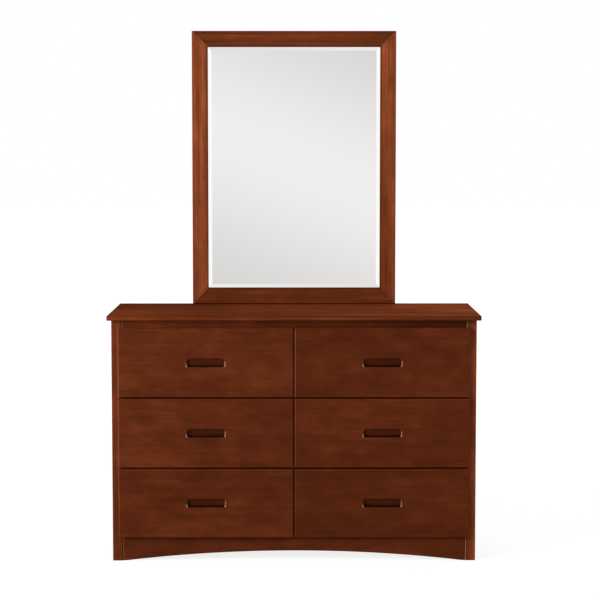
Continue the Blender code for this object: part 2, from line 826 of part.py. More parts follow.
def make_mirror():
    half = MIRROR_WIDTH / 2
    y = (MIRROR_FRONT, MIRROR_REAR)
    inner = half - FRAME_WIDTH
    members = {
        "mirror_frame_top": ((-half, y[0], MIRROR_HEAD - FRAME_WIDTH), (half, y[1], MIRROR_HEAD)),
        "mirror_frame_bottom": ((-half, y[0], MIRROR_FOOT), (half, y[1], MIRROR_FOOT + FRAME_WIDTH)),
        "mirror_frame_left": ((-half, y[0], MIRROR_FOOT), (-inner, y[1], MIRROR_HEAD)),
        "mirror_frame_right": ((inner, y[0], MIRROR_FOOT), (half, y[1], MIRROR_HEAD)),
    }
    inward = {"top": (0, 0, -1), "bottom": (0, 0, 1), "left": (1, 0, 0), "right": (-1, 0, 0)}
    recess = make_cutter(
        "mirror_recess",
        block_mesh(
            (-GLASS_HALF_WIDTH, REBATE_FACE, MIRROR_MIDDLE - GLASS_HALF_HEIGHT),
            (GLASS_HALF_WIDTH, MIRROR_REAR + CUT_PAST, MIRROR_MIDDLE + GLASS_HALF_HEIGHT),
        ),
    )
    for name, (low, high) in members.items():
        member = mitred_member(name, low, high, inward[name.rsplit("_", 1)[1]])
        cut_with(member, recess)

    half_width = GLASS_HALF_WIDTH - SEAT_GAP
    half_height = GLASS_HALF_HEIGHT - SEAT_GAP
    bevel = GLASS_REBATE + GLASS_BEVEL - SEAT_GAP
    slope = (GLASS_THICKNESS - GLASS_EDGE) / bevel
    rim_front = REBATE_FACE + SEAT_GAP + slope * (GLASS_REBATE - SEAT_GAP)
    glass_rear = rim_front + GLASS_EDGE
    bm = block_mesh(
        (-half_width, rim_front, MIRROR_MIDDLE - half_height),
        (half_width, glass_rear, MIRROR_MIDDLE + half_height),
    )
    front = [f for f in bm.faces if f.normal.y < -FACING]
    bmesh.ops.inset_region(
        bm,
        faces=front,
        thickness=bevel,
        depth=GLASS_THICKNESS - GLASS_EDGE,
        use_even_offset=True,
        use_boundary=True,
    )
    make_piece("mirror_glass", bm, "silvered_glass")

    board_front = glass_rear + SEAT_GAP
    board(
        "mirror_backboard",
        (-half_width, board_front, MIRROR_MIDDLE - half_height),
        (half_width, board_front + BACKBOARD_THICKNESS, MIRROR_MIDDLE + half_height),
        finish="hardboard",
    )


def screw_hole(piece, what, centre, ends):
    """A clearance hole along Y, countersunk at its rear end: one profile turned about its axis."""
    x, z = centre
    hole, sink = SCREW_HOLE / 2, SCREW_SINK / 2
    profile = (
        (0.0, ends[0] - CUT_PAST),
        (hole, ends[0] - CUT_PAST),
        (hole, ends[1] - (sink - hole)),
        (sink + CUT_PAST, ends[1] + CUT_PAST),
        (0.0, ends[1] + CUT_PAST),
    )
    bm = bmesh.new()
    points = [bm.verts.new((x + radius, y, z)) for radius, y in profile]
    lines = [bm.edges.new(pair) for pair in zip(points, points[1:])]
    bmesh.ops.spin(
        bm,
        geom=points + lines,
        cent=(x, 0, z),
        axis=(0, 1, 0),
        angle=math.tau,
        steps=SCREW_HOLE_SIDES,
        use_merge=True,
    )
    bmesh.ops.remove_doubles(bm, verts=bm.verts[:], dist=MERGE_DISTANCE)
    bmesh.ops.recalc_face_normals(bm, faces=bm.faces[:])
    cut_with(piece, make_cutter(f"{piece.name}_{what}_screw", bm))


def screw_heights():
    """Heights of a support's screws: spread along the mirror's frame, and at the back rails."""
    low = MIRROR_FOOT + SCREW_END_ROOM
    high = SLAB_TOP + SUPPORT_ABOVE - SCREW_END_ROOM
    step = (high - low) / (SUPPORT_SCREWS - 1)
    into_frame = [low + step * i for i in range(SUPPORT_SCREWS)]
    rails = (BACK_RAILS["back_rail_upper"], BACK_RAILS["back_rail_top"])
    return [(rail_low[2] + rail_high[2]) / 2 for rail_low, rail_high in rails] + into_frame


def make_supports():
    """Uprights behind the mirror's side members, down the back of the case."""
    middle = MIRROR_WIDTH / 2 - FRAME_WIDTH / 2
    y = (SLAB_REAR + SEAT_GAP, SLAB_REAR + SEAT_GAP + SUPPORT_THICKNESS)
    z = (SLAB_TOP - SUPPORT_BELOW, SLAB_TOP + SUPPORT_ABOVE)
    for side in COLUMNS:
        support = board(
            f"mirror_support_{side}",
            *handed(side, middle - SUPPORT_WIDTH / 2, middle + SUPPORT_WIDTH / 2, y, z),
            eased=((0, 1, 0),),
            radius=SUPPORT_EASE,
        )
        for number, height in enumerate(screw_heights(), start=1):
            screw_hole(support, number, (hand_of(side) * middle, height), y)


make_top()
for case_side in COLUMNS:
    make_side(case_side)
make_rails()
make_partition()
make_apron()
make_back()
make_guides()
make_drawers()
make_mirror()
make_supports()
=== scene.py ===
# %% [markdown]
# # A bedroom dresser and its mirror
# This notebook dresses a finished CAD model: a low dresser with six drawers and, behind its top, a
# framed mirror. The boards, drawers and glass are already there at their real size. What is added
# here is what the eye reads as furniture: stained and lacquered wood whose grain runs the way each
# board was sawn, silvered glass, bare wood inside the drawers, and the screws and staples behind.

# %% Load the frame
import json
import math

import bmesh
import bpy
from mathutils import Matrix, Vector


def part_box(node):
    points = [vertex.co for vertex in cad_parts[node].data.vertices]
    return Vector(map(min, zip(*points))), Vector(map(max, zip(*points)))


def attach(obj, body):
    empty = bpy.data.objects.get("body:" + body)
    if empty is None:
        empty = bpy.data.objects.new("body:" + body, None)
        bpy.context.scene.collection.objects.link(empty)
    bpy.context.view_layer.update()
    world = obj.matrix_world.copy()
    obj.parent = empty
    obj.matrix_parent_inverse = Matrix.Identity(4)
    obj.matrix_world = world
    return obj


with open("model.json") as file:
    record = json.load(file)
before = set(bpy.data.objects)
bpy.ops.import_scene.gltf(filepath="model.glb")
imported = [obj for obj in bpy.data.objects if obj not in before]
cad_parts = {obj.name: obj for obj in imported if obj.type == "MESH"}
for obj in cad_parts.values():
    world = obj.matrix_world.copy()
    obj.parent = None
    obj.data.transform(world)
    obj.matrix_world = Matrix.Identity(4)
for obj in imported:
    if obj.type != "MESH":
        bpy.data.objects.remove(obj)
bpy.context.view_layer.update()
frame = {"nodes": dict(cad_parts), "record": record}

nodes = frame["nodes"]
print("boards and other solids:", len(nodes))

# %% [markdown]
# ## The camera
# The dresser was photographed from well back with a long lens, a little to the right of its middle
# and above its top, so that a strip of the top shows. A shift lens kept its uprights parallel. A
# large shift would push the object out of the middle of every other view, so most of the downward
# look is made by tilting the camera, and a small shift takes out a part of the leaning lines.

# %% Camera
PICTURE_SIDE = 600  # pixels, the photograph's width and height
FOCAL_LENGTH = 1594.3  # in those pixels
CAMERA_PLACE = (0.0024, -5.2759, 1.3515)
CAMERA_TILT = 4.133  # degrees below the horizon
CAMERA_TURN = 0.188  # degrees to the right
LENS_SHIFT = -0.07

camera_data = bpy.data.cameras.new("camera")
camera_data.sensor_width = 36.0
camera_data.lens = camera_data.sensor_width * FOCAL_LENGTH / PICTURE_SIDE
camera_data.shift_y = LENS_SHIFT
camera = bpy.data.objects.new("camera", camera_data)
camera.location = CAMERA_PLACE
camera.rotation_euler = (math.radians(90 - CAMERA_TILT), 0, math.radians(-CAMERA_TURN))
bpy.context.scene.collection.objects.link(camera)
bpy.context.scene.camera = camera
bpy.context.scene.view_settings.view_transform = "Standard"
print("lens:", round(camera_data.lens, 1), "mm")

# %% [markdown]
# ## Helpers
# Every finish below is a small tree of nodes, such as could be clicked together by hand. In a
# script one function is enough for that: it adds a node of any kind, sets its options, and fills or
# links its inputs. Another turns the hex colours that people write into the linear values that
# Blender computes with. The last two start a material and finish a mesh.


# %% Helpers
def add(tree, kind, options=None, inputs=None, stops=()):
    """Adds a node. An input is a value, a socket, or a node whose first output is meant."""
    made = tree.nodes.new(kind)
    for name, value in (options or {}).items():
        setattr(made, name, value)
    for name, value in (inputs or {}).items():
        if isinstance(value, bpy.types.Node):
            value = value.outputs[0]
        if isinstance(value, bpy.types.NodeSocket):
            tree.links.new(value, made.inputs[name])
        else:
            made.inputs[name].default_value = value
    if stops:
        elements = made.color_ramp.elements
        while len(elements) < len(stops):
            elements.new(0.5)
        for element, (place, colour) in zip(elements, stops):
            element.position = place
            element.color = colour
    return made


def linear(hex_colour):
    """The linear colour of an sRGB hex value, with an alpha of 1."""
    parts = [int(hex_colour[i : i + 2], 16) / 255 for i in (0, 2, 4)]
    return [p / 12.92 if p <= 0.04045 else ((p + 0.055) / 1.055) ** 2.4 for p in parts] + [1.0]


def new_material(name):
    """A material and its tree, which is still empty."""
    material = bpy.data.materials.new(name)
    material.use_nodes = True
    material.node_tree.nodes.clear()
    return material, material.node_tree


def to_object(name, bm):
    """Turns a finished bmesh into an object of the scene, at the origin and unturned."""
    mesh = bpy.data.meshes.new(name)
    bm.to_mesh(mesh)
    bm.free()
    made = bpy.data.objects.new(name, mesh)
    bpy.context.scene.collection.objects.link(made)
    return made


print("the middle grey 808080 is", round(linear("808080")[0], 3), "as a linear value")

# %% [markdown]
# ## The studio
# The photograph is a cut-out on white. More lamps would turn the floor white, but they would wash
# out the wood as well. So the world and the floor are white for the camera's own rays and for
# reflected ones, while the wood is lit by a moderate grey. Light Path tells such rays apart. In a
# reflection's reflection the world is dim, or the white that the glass reflects would lie as a veil
# on the lacquer in front of it.

# %% World
AMBIENT = 0.28  # the grey that lights the wood, where white is 1


def seen_directly(tree):
    """1 for rays from the camera and for reflected or refracted ones, 0 for the light on things."""
    path = add(tree, "ShaderNodeLightPath")
    mirrored = add(
        tree,
        "ShaderNodeMath",
        {"operation": "MAXIMUM"},
        {0: path.outputs["Is Glossy Ray"], 1: path.outputs["Is Transmission Ray"]},
    )
    return add(
        tree,
        "ShaderNodeMath",
        {"operation": "MAXIMUM"},
        {0: path.outputs["Is Camera Ray"], 1: mirrored},
    )


def first_reflection(tree):
    """1 where a thing is seen directly or in one reflection, and dim in a reflection's reflection."""
    path = add(tree, "ShaderNodeLightPath")
    return add(
        tree,
        "ShaderNodeMapRange",
        inputs={
            "Value": path.outputs["Glossy Depth"],
            "From Min": 1.0,
            "From Max": 2.0,
            "To Min": 1.0,
            "To Max": AMBIENT,
        },
    )


world = bpy.data.worlds.new("studio")
world.use_nodes = True
sky = world.node_tree
sky.nodes.clear()
ambient = add(sky, "ShaderNodeBackground", inputs={"Color": (1, 1, 1, 1), "Strength": AMBIENT})
white = add(
    sky,
    "ShaderNodeBackground",
    inputs={"Color": (1, 1, 1, 1), "Strength": first_reflection(sky)},
)
shown = add(sky, "ShaderNodeMixShader", inputs={0: seen_directly(sky), 1: ambient, 2: white})
add(sky, "ShaderNodeOutputWorld", inputs={"Surface": shown})
bpy.context.scene.world = world
print("world made, with", len(sky.nodes), "nodes")

# %% [markdown]
# The floor is one wide sheet of studio paper. A glow alone would be a perfect white, but then the
# dresser would float, for its shadow would be gone. So the camera sees a faint share of the real
# paper, with the shadow on it, and a glow adds what is missing to white. Further out the glow alone
# is white. The mirror shows the floor too, and there the nearer part of it is a pale grey.

# %% Floor
FLOOR_SIDE = 60.0  # metres

bm = bmesh.new()
bmesh.ops.create_grid(bm, x_segments=1, y_segments=1, size=FLOOR_SIDE / 2)
floor = to_object("floor", bm)
print("floor made:", FLOOR_SIDE, "metres square")

# %% Studio paper
PAPER = 0.7  # the share of its light that the paper gives back to the wood
SHADOW_PAPER = 0.3  # the share that the camera sees, enough for a faint shadow
SHADOW_REACH = (1.2, 3.5)  # metres from the middle, over which the glow rises to white
NEAR_GLOW = 0.84
MIRRORED_REACH = (7.4, 9.0)  # the same for the floor in the mirror
MIRRORED_GLOW = 0.7

paper, tree = new_material("white_studio_paper")
place = add(tree, "ShaderNodeTexCoord")
distance = add(
    tree, "ShaderNodeVectorMath", {"operation": "LENGTH"}, {0: place.outputs["Object"]}
)
glow, mirrored_glow = (
    add(
        tree,
        "ShaderNodeMapRange",
        {"interpolation_type": curve},
        {
            "Value": distance.outputs["Value"],
            "From Min": start,
            "From Max": end,
            "To Min": near,
            "To Max": 1.0,
        },
    )
    for curve, (start, end), near in (
        ("SMOOTHSTEP", SHADOW_REACH, NEAR_GLOW),
        ("LINEAR", MIRRORED_REACH, MIRRORED_GLOW),
    )
)
lit = add(tree, "ShaderNodeEmission", inputs={"Strength": glow})
in_mirrors = add(tree, "ShaderNodeEmission", inputs={"Strength": mirrored_glow})
matt, faint = (
    add(tree, "ShaderNodeBsdfDiffuse", inputs={"Color": (share, share, share, 1)})
    for share in (PAPER, SHADOW_PAPER)
)
to_camera = add(tree, "ShaderNodeAddShader", inputs={0: faint, 1: lit})
path = add(tree, "ShaderNodeLightPath")
bright = add(
    tree,
    "ShaderNodeMixShader",
    inputs={0: path.outputs["Is Camera Ray"], 1: in_mirrors, 2: to_camera},
)
mixed = add(tree, "ShaderNodeMixShader", inputs={0: seen_directly(tree), 1: matt, 2: bright})
add(tree, "ShaderNodeOutputMaterial", inputs={"Surface": mixed})
floor.data.materials.append(paper)
print("paper made, with", len(tree.nodes), "nodes")

# %% [markdown]
# A large softbox far out on the left does most of the lighting. It hangs low, as the shading of the
# front and the bright ends of the pulls show. A small, weak one on the right opens the shadows, and
# a third, high behind the dresser, lets its back and the top's rear edge be seen. Area lamps give
# the soft shadows of such boxes, and their size and distance set how soft.

# %% Softboxes
LAMP_TARGET = Vector((0.0, -0.2, 0.75))


def softbox(name, azimuth, elevation, distance, side, watts):
    """A square lamp that looks at the dresser. Azimuth 0 is the front, and -90 the left."""
    a = math.radians(azimuth)
    e = math.radians(elevation)
    away = Vector((math.sin(a) * math.cos(e), -math.cos(a) * math.cos(e), math.sin(e)))
    data = bpy.data.lights.new(name, "AREA")
    data.shape = "SQUARE"
    data.size = side
    data.energy = watts
    lamp = bpy.data.objects.new(name, data)
    lamp.location = LAMP_TARGET + away * distance
    lamp.rotation_euler = away.to_track_quat("Z", "Y").to_euler()
    lamp.visible_camera = False
    bpy.context.scene.collection.objects.link(lamp)


softbox("key_softbox", azimuth=-58, elevation=16, distance=6.0, side=2.2, watts=300)
softbox("fill_softbox", azimuth=48, elevation=30, distance=4.2, side=1.6, watts=30)
softbox("rear_softbox", azimuth=170, elevation=50, distance=4.0, side=2.0, watts=45)
print("softboxes made:", len(bpy.data.lights))

# %% [markdown]
# ## What the mirror sees
# A mirror has no colour of its own: it shows what stands before it. The photograph's glass holds a
# pale grey with one soft, lighter band that falls from upper left to lower right, as a sheet of
# paper hung behind the camera gives. A picture painted on the glass would stay where it is when the
# view moves, so a real sheet hangs there, seen in reflections alone. The bevelled border looks past
# it, into the white of the studio, and that draws the bevel.

# %% Reflected sheet
SHEET_Y = -7.5
SHEET_HALF_WIDTH = 0.8
SHEET_HEIGHT = 4.6


def hung_sheet(name, y, half_width, height):
    """An upright rectangle that stands on the floor, and that only reflections show."""
    upright = Matrix.Translation((0, y, height / 2)) @ Matrix.Rotation(math.radians(90), 4, "X")
    size = Matrix.Diagonal((half_width, height / 2, 1, 1))
    bm = bmesh.new()
    bmesh.ops.create_grid(bm, x_segments=1, y_segments=1, size=1.0, matrix=upright @ size)
    made = to_object(name, bm)
    made.visible_camera = False
    made.visible_diffuse = False
    made.visible_shadow = False
    return made


sheet = hung_sheet("reflected_sheet", SHEET_Y, SHEET_HALF_WIDTH, SHEET_HEIGHT)
print("sheet made:", 2 * SHEET_HALF_WIDTH, "by", SHEET_HEIGHT, "metres")

# %% Grey paper
# The sheet glows rather than being lit, and its lighter band is painted light.
SHEET_LIGHT = "f4f3f3"
SHEET_DARK = "dbdad9"
BAND_HEIGHT = 1.20  # of the band's middle above the floor, halfway across the sheet
BAND_FALL = 0.38  # how far it falls for each metre to the right
BAND_REACH = 1.4  # metres over which it fades

grey, tree = new_material("pale_grey_paper")
place = add(tree, "ShaderNodeTexCoord")
parts = add(tree, "ShaderNodeSeparateXYZ", inputs={0: place.outputs["Object"]})
fallen = add(
    tree,
    "ShaderNodeMath",
    {"operation": "MULTIPLY_ADD"},
    {0: parts.outputs["X"], 1: BAND_FALL, 2: parts.outputs["Z"]},
)
from_band = add(tree, "ShaderNodeMath", {"operation": "SUBTRACT"}, {0: fallen, 1: BAND_HEIGHT})
apart = add(tree, "ShaderNodeMath", {"operation": "ABSOLUTE"}, {0: from_band})
share = add(
    tree,
    "ShaderNodeMapRange",
    {"interpolation_type": "SMOOTHSTEP"},
    {"Value": apart, "From Min": 0.0, "From Max": BAND_REACH},
)
shade = add(
    tree,
    "ShaderNodeValToRGB",
    inputs={"Fac": share},
    stops=[(0.0, linear(SHEET_LIGHT)), (1.0, linear(SHEET_DARK))],
)
lit = add(
    tree, "ShaderNodeEmission", inputs={"Color": shade, "Strength": first_reflection(tree)}
)
add(tree, "ShaderNodeOutputMaterial", inputs={"Surface": lit})
sheet.data.materials.append(grey)
print("grey paper made, with", len(tree.nodes), "nodes")

# %% [markdown]
# Seen along its surface, lacquer mirrors whatever lies beyond it, and the dresser's top would turn
# as white as the studio. A photographer hangs a dark cloth there, called a flag, to keep the top's
# own colour. This one stands behind the dresser, where reflections alone show it.

# %% Dark flag
FLAG_Y = 2.6
FLAG_HALF_WIDTH = 5.0
FLAG_HEIGHT = 3.5
FLAG_COLOUR = "201c1a"

flag = hung_sheet("dark_flag", FLAG_Y, FLAG_HALF_WIDTH, FLAG_HEIGHT)

cloth, tree = new_material("dark_cloth")
shader = add(
    tree,
    "ShaderNodeBsdfPrincipled",
    inputs={"Base Color": linear(FLAG_COLOUR), "Roughness": 1.0, "Specular IOR Level": 0.0},
)
add(tree, "ShaderNodeOutputMaterial", inputs={"Surface": shader})
flag.data.materials.append(cloth)
print("flag made:", 2 * FLAG_HALF_WIDTH, "by", FLAG_HEIGHT, "metres")

# %% [markdown]
# ## Stained and lacquered wood
# The boards are a pale, close-grained hardwood, sprayed with a red-brown stain and a satin lacquer.
# Such a stain hides much of the figure: what is left is a soft mottle where the wood drank more of
# it, faint streaks along the grain, and short dark pores seen from close by. An image wrapped round
# a board would show seams at its edges. This pattern is a solid one instead, computed from a
# point's place in metres and stretched along the grain, so it wraps round edges and turns to dots
# on end grain, as in a real board.

# %% Wood pattern
FIGURE = (800, 17)  # the streaks, in millimetres along and across the grain, as all four below
MOTTLE = (85, 46)
CLOUD = (420, 200)
FIBRE = (120, 2.6)  # coarser than real fibres, which are too fine to show from so far
PORE = (16, 0.9)


def per_metre(millimetres):
    """How often a thing of this size fits in a metre, which is what a noise's scale counts."""
    return 1000.0 / millimetres


def stretched_noise(tree, place, size, detail, roughness=0.5):
    """Noise whose cells have the given length along the grain and width across it."""
    along, across = (per_metre(s) for s in size)
    shrunk = add(
        tree,
        "ShaderNodeVectorMath",
        {"operation": "MULTIPLY"},
        {0: place, 1: (along, across, across)},
    )
    return add(
        tree,
        "ShaderNodeTexNoise",
        inputs={"Vector": shrunk, "Scale": 1.0, "Detail": detail, "Roughness": roughness},
    )


print("a streak is", FIGURE[0], "mm long, and a pore", PORE[0], "mm")

# %% [markdown]
# That noise is stretched along X. So the places that it is asked for are first turned until the
# board's grain lies along X, and moved, so that each board has its own part of the pattern. Last
# they are shifted to and fro a little, because a streak in real wood isn't quite straight.

# %% Grain
GRAIN_TURN = {  # turns the direction of the grain onto X
    "x": (0.0, 0.0, 0.0),
    "y": (0.0, 0.0, math.radians(-90)),
    "z": (0.0, math.radians(90), 0.0),
}
WARP = (320, 140)  # millimetres along and across the grain, the size of one wave of a streak
WARP_REACH = 0.010  # metres that a streak wanders


def grain_place(tree, grain, offset):
    """Places turned onto the grain, moved so that each board has its own, and slightly wavy."""
    place = add(tree, "ShaderNodeTexCoord")
    turned = add(
        tree,
        "ShaderNodeMapping",
        inputs={
            "Vector": place.outputs["Object"],
            "Rotation": GRAIN_TURN[grain],
            "Location": offset,
        },
    )
    wave = stretched_noise(tree, turned, WARP, detail=1.0)
    return add(
        tree,
        "ShaderNodeVectorMath",
        {"operation": "MULTIPLY_ADD"},
        {0: wave.outputs["Color"], 1: (0.0, WARP_REACH, WARP_REACH), 2: turned},
    )


print("a streak wanders by", round(WARP_REACH * 1000), "mm")

# %% [markdown]
# ## Marks on a board
# Stain is never quite even: sanding thins it on edges. Shade in corners and beside joints, and
# highlights on arrises, are painted into the colour here as well. Such marks could be brushed onto
# an image. Here a mark is a small box in space, given by two corners in metres, and a point of the
# wood is inside it or not. So it is as sharp as the render needs, it travels with its drawer, and it
# follows the board when a size changes.


# %% Places on a board
def from_middle(tree, low, high, axes=(0, 1, 2)):
    """For each axis, how far a point lies from a box's middle, and half of the box's size."""
    place = add(tree, "ShaderNodeTexCoord")
    parts = add(tree, "ShaderNodeSeparateXYZ", inputs={0: place.outputs["Object"]})
    found = []
    for axis in axes:
        middle = (low[axis] + high[axis]) / 2
        away = add(
            tree, "ShaderNodeMath", {"operation": "SUBTRACT"}, {0: parts.outputs[axis], 1: middle}
        )
        apart = add(tree, "ShaderNodeMath", {"operation": "ABSOLUTE"}, {0: away})
        found.append((apart, (high[axis] - low[axis]) / 2))
    return found


def inside_box(tree, low, high, soft):
    """1 inside the box between two corners, falling to 0 over a soft border."""
    near = [
        add(
            tree,
            "ShaderNodeMapRange",
            {"interpolation_type": "SMOOTHSTEP"},
            {
                "Value": apart,
                "From Min": half,
                "From Max": half + soft,
                "To Min": 1.0,
                "To Max": 0.0,
            },
        )
        for apart, half in from_middle(tree, low, high)
    ]
    inside = near[0]
    for more in near[1:]:
        inside = add(tree, "ShaderNodeMath", {"operation": "MULTIPLY"}, {0: inside, 1: more})
    return inside


print("a mark's place runs from 0 outside its box to 1 inside")

# %% [markdown]
# Sanding goes through the stain first where two faces of a board meet, and rounded edges catch the
# light, so edges are painted lighter: partly wear and partly a painted highlight. Along the top's
# edges they are painted darker instead, as painted shade. There a point lies close to the board's
# limits along two axes at once. So each pair of axes gives the smaller of its two numbers, and the
# largest of the three pairs counts.

# %% Edges
EDGE_WIDTH = 0.003  # metres of a board beside its edges, where sanding thins the stain and a highlight is painted
EDGE_CREST = 0.3  # the outer share of that width, where it is thinnest


def near_edges(tree, low, high):
    """1 along the edges of a box, where two of its faces meet, and 0 elsewhere."""
    near = [
        add(
            tree,
            "ShaderNodeMapRange",
            {"interpolation_type": "SMOOTHSTEP"},
            {
                "Value": apart,
                "From Min": half - EDGE_WIDTH,
                "From Max": half - EDGE_CREST * EDGE_WIDTH,
            },
        )
        for apart, half in from_middle(tree, low, high)
    ]
    edges = [
        add(tree, "ShaderNodeMath", {"operation": "MINIMUM"}, {0: near[first], 1: near[second]})
        for first, second in ((0, 1), (1, 2), (0, 2))
    ]
    nearest = edges[0]
    for more in edges[1:]:
        nearest = add(tree, "ShaderNodeMath", {"operation": "MAXIMUM"}, {0: nearest, 1: more})
    return nearest


print("edges are sanded over", round(EDGE_WIDTH * 1000, 1), "mm")

# %% [markdown]
# The four members of the mirror's frame meet in mitres, with their arrises broken. The joint is
# painted as a pale line, a painted highlight, with painted shade on both sides of it and along the
# glass. All four joints are one rule: on a mitre, a point is as far in from the frame's side as it
# is from its top or foot.

# %% Mitres
LINE_SOFT = 0.001  # metres over which such a line ends
ARRIS_REACH = 0.0014  # metres of painted highlight on each side of the joint, taken along X or Z
ARRIS_HIGHLIGHT_TONE = 2.5
MITRE_SHADE_REACH = 0.0045  # metres beside the arris with painted shade
MITRE_SHADE_TONE = 0.42
SIGHT_EDGE = 0.0045  # metres of the frame beside the glass, with painted shade too
SIGHT_SHADE_TONE = 0.55

mirror_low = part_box("mirror_frame_bottom")[0]
mirror_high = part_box("mirror_frame_top")[1]
member_width = mirror_high.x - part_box("mirror_frame_right")[0].x


def mitre_tone(tree):
    """Painted highlight on the frame's mitres, painted shade beside them and beside the glass."""
    insets = [
        add(tree, "ShaderNodeMath", {"operation": "SUBTRACT"}, {0: half, 1: apart})
        for apart, half in from_middle(tree, mirror_low, mirror_high, axes=(0, 2))
    ]
    across = add(
        tree, "ShaderNodeMath", {"operation": "SUBTRACT"}, {0: insets[0], 1: insets[1]}
    )
    apart = add(tree, "ShaderNodeMath", {"operation": "ABSOLUTE"}, {0: across})
    tone = 1.0
    for reach, tone_within in (
        (ARRIS_REACH + MITRE_SHADE_REACH, MITRE_SHADE_TONE),
        (ARRIS_REACH, ARRIS_HIGHLIGHT_TONE),
    ):
        beyond = add(
            tree,
            "ShaderNodeMapRange",
            inputs={"Value": apart, "From Min": reach, "From Max": reach + LINE_SOFT},
        )
        tone = add(
            tree, "ShaderNodeMix", {"data_type": "FLOAT"}, {0: beyond, 2: tone_within, 3: tone}
        )
    inset = add(
        tree, "ShaderNodeMath", {"operation": "MINIMUM"}, {0: insets[0], 1: insets[1]}
    )
    sight = add(
        tree,
        "ShaderNodeMapRange",
        inputs={
            "Value": inset,
            "From Min": member_width - SIGHT_EDGE - LINE_SOFT,
            "From Max": member_width - SIGHT_EDGE,
            "To Min": 1.0,
            "To Max": SIGHT_SHADE_TONE,
        },
    )
    return add(tree, "ShaderNodeMath", {"operation": "MULTIPLY"}, {0: tone, 1: sight})


print("members of the mirror's frame are", round(member_width * 1000, 1), "mm wide")

# %% [markdown]
# Light falls unevenly on a board, so each board can be painted a little lighter at one end than at
# the other: painted light and shade. That is one tone across the front face and one up it,
# multiplied. What lies behind the face, such as the upper side of the dresser's top, has tones of
# its own, at the left and right of its front and of its rear. A board that is all front gets a face
# that ends at 0, in the middle of the dresser's depth, and that is further back than it reaches
# itself.


# %% Painted light across a board
def painted_light(tree, low, high, across=(1, 1), upward=(1, 1), face_end=0.0, front=(1, 1), rear=(1, 1)):
    """Painted light and shade across a board. The front face ends at face_end, a place along Y."""
    place = add(tree, "ShaderNodeTexCoord")
    parts = add(tree, "ShaderNodeSeparateXYZ", inputs={0: place.outputs["Object"]})
    sideways, upwards, at_front, at_rear, depth = (
        add(
            tree,
            "ShaderNodeMapRange",
            inputs={
                "Value": parts.outputs[axis],
                "From Min": low[axis],
                "From Max": high[axis],
                "To Min": start,
                "To Max": end,
            },
        )
        for axis, (start, end) in ((0, across), (2, upward), (0, front), (0, rear), (1, (0, 1)))
    )
    on_face = add(
        tree, "ShaderNodeMath", {"operation": "MULTIPLY"}, {0: sideways, 1: upwards}
    )
    behind = add(
        tree, "ShaderNodeMix", {"data_type": "FLOAT"}, {0: depth, 2: at_front, 3: at_rear}
    )
    past_face = add(
        tree,
        "ShaderNodeMapRange",
        inputs={
            "Value": parts.outputs["Y"],
            "From Min": face_end,
            "From Max": face_end + LINE_SOFT,
        },
    )
    return add(
        tree, "ShaderNodeMix", {"data_type": "FLOAT"}, {0: past_face, 2: on_face, 3: behind}
    )


print("a face ends within", round(LINE_SOFT * 1000, 1), "mm")

# %% [markdown]
# ## The stain
# A stain is transparent: where the coat is thinner, the wood looks lighter and more orange, and
# where it is thicker, darker and redder. Two colours picked by eye would miss that. So one rule
# gives a colour for every tone, in which green and blue rise faster than red does, and a colour
# ramp goes from the darkest streaks of a board to its lightest.

# %% Stain
STAIN = "5a2710"
THINNER = (1.0, 1.17, 1.4)  # how fast red, green and blue rise where the coat is thinner
CONTRAST = 1.45  # between the middle of the figure and its darkest and lightest places
STAIN_PLACES = (0.15, 0.5, 0.85)  # the pattern's values at the darkest, middle and lightest
CLOUD_WEIGHT = 0.6
FIBRE_WEIGHT = 0.6


def stain(tone):
    """The stain's colour where the coat is thinner, above 1, or thicker, below 1."""
    return [c * tone**power for c, power in zip(linear(STAIN), THINNER)] + [1.0]


def weighted(tree, parts):
    """0.5 plus each noise's distance from its middle, times its weight."""
    total = 0.5 - sum(weight for _, weight in parts) / 2
    for noise, weight in parts:
        total = add(
            tree,
            "ShaderNodeMath",
            {"operation": "MULTIPLY_ADD"},
            {0: noise, 1: weight, 2: total},
        )
    return total


def figured_colour(tree, place, finish, fibre):
    """The stain on plain wood: streaks, mottle, clouds and fibres."""
    figure = stretched_noise(tree, place, FIGURE, detail=2.0)
    mottle = stretched_noise(tree, place, MOTTLE, detail=3.0, roughness=0.6)
    cloud = stretched_noise(tree, place, CLOUD, detail=1.0)
    value = weighted(
        tree,
        [
            (figure, finish["figure"]),
            (mottle, finish["mottle"]),
            (cloud, CLOUD_WEIGHT),
            (fibre, FIBRE_WEIGHT),
        ],
    )
    tone = finish["tone"]
    swing = CONTRAST ** finish["contrast"]
    colours = (stain(tone / swing), stain(tone), stain(tone * swing))
    return add(
        tree,
        "ShaderNodeValToRGB",
        inputs={"Fac": value},
        stops=list(zip(STAIN_PLACES, colours)),
    )


print("a coat twice as thin is", [round(c, 3) for c in stain(2.0)[:3]])

# %% [markdown]
# Pores, edges and marks make that colour darker or paler, each by a number of its own, and some of
# the marks are painted shade. Where a highlight is painted, a pale wood colour is mixed in instead,
# because a highlight on this stain is pale, and not a brighter red.

# %% Tones and painted highlights
PORE_START = 0.64  # the value of the pores' noise where a pore begins
PORE_FULL = 0.72  # and where it is darkest
PORE_TONE = 0.72
HIGHLIGHT_COLOUR = "b88068"  # the pale colour of a painted highlight


def board_tones(tree, low, high, finish, stain_and_shade_marks, pore):
    """What the figured colour is multiplied by, for each cause, painted light and shade too."""
    tones = [mitre_tone(tree)] if finish["mitred"] else []
    in_pore = add(
        tree,
        "ShaderNodeMapRange",
        inputs={"Value": pore, "From Min": PORE_START, "From Max": PORE_FULL},
    )
    places = [(in_pore, PORE_TONE), (near_edges(tree, low, high), finish["edge_tone"])]
    places += [(inside_box(tree, *box, soft), tone) for box, soft, tone in stain_and_shade_marks]
    for place, tone in places:
        tones.append(
            add(
                tree,
                "ShaderNodeMapRange",
                inputs={"Value": place, "To Min": 1.0, "To Max": tone},
            )
        )
    if finish["painted_light"]:
        tones.append(painted_light(tree, low, high, **finish["painted_light"]))
    return tones


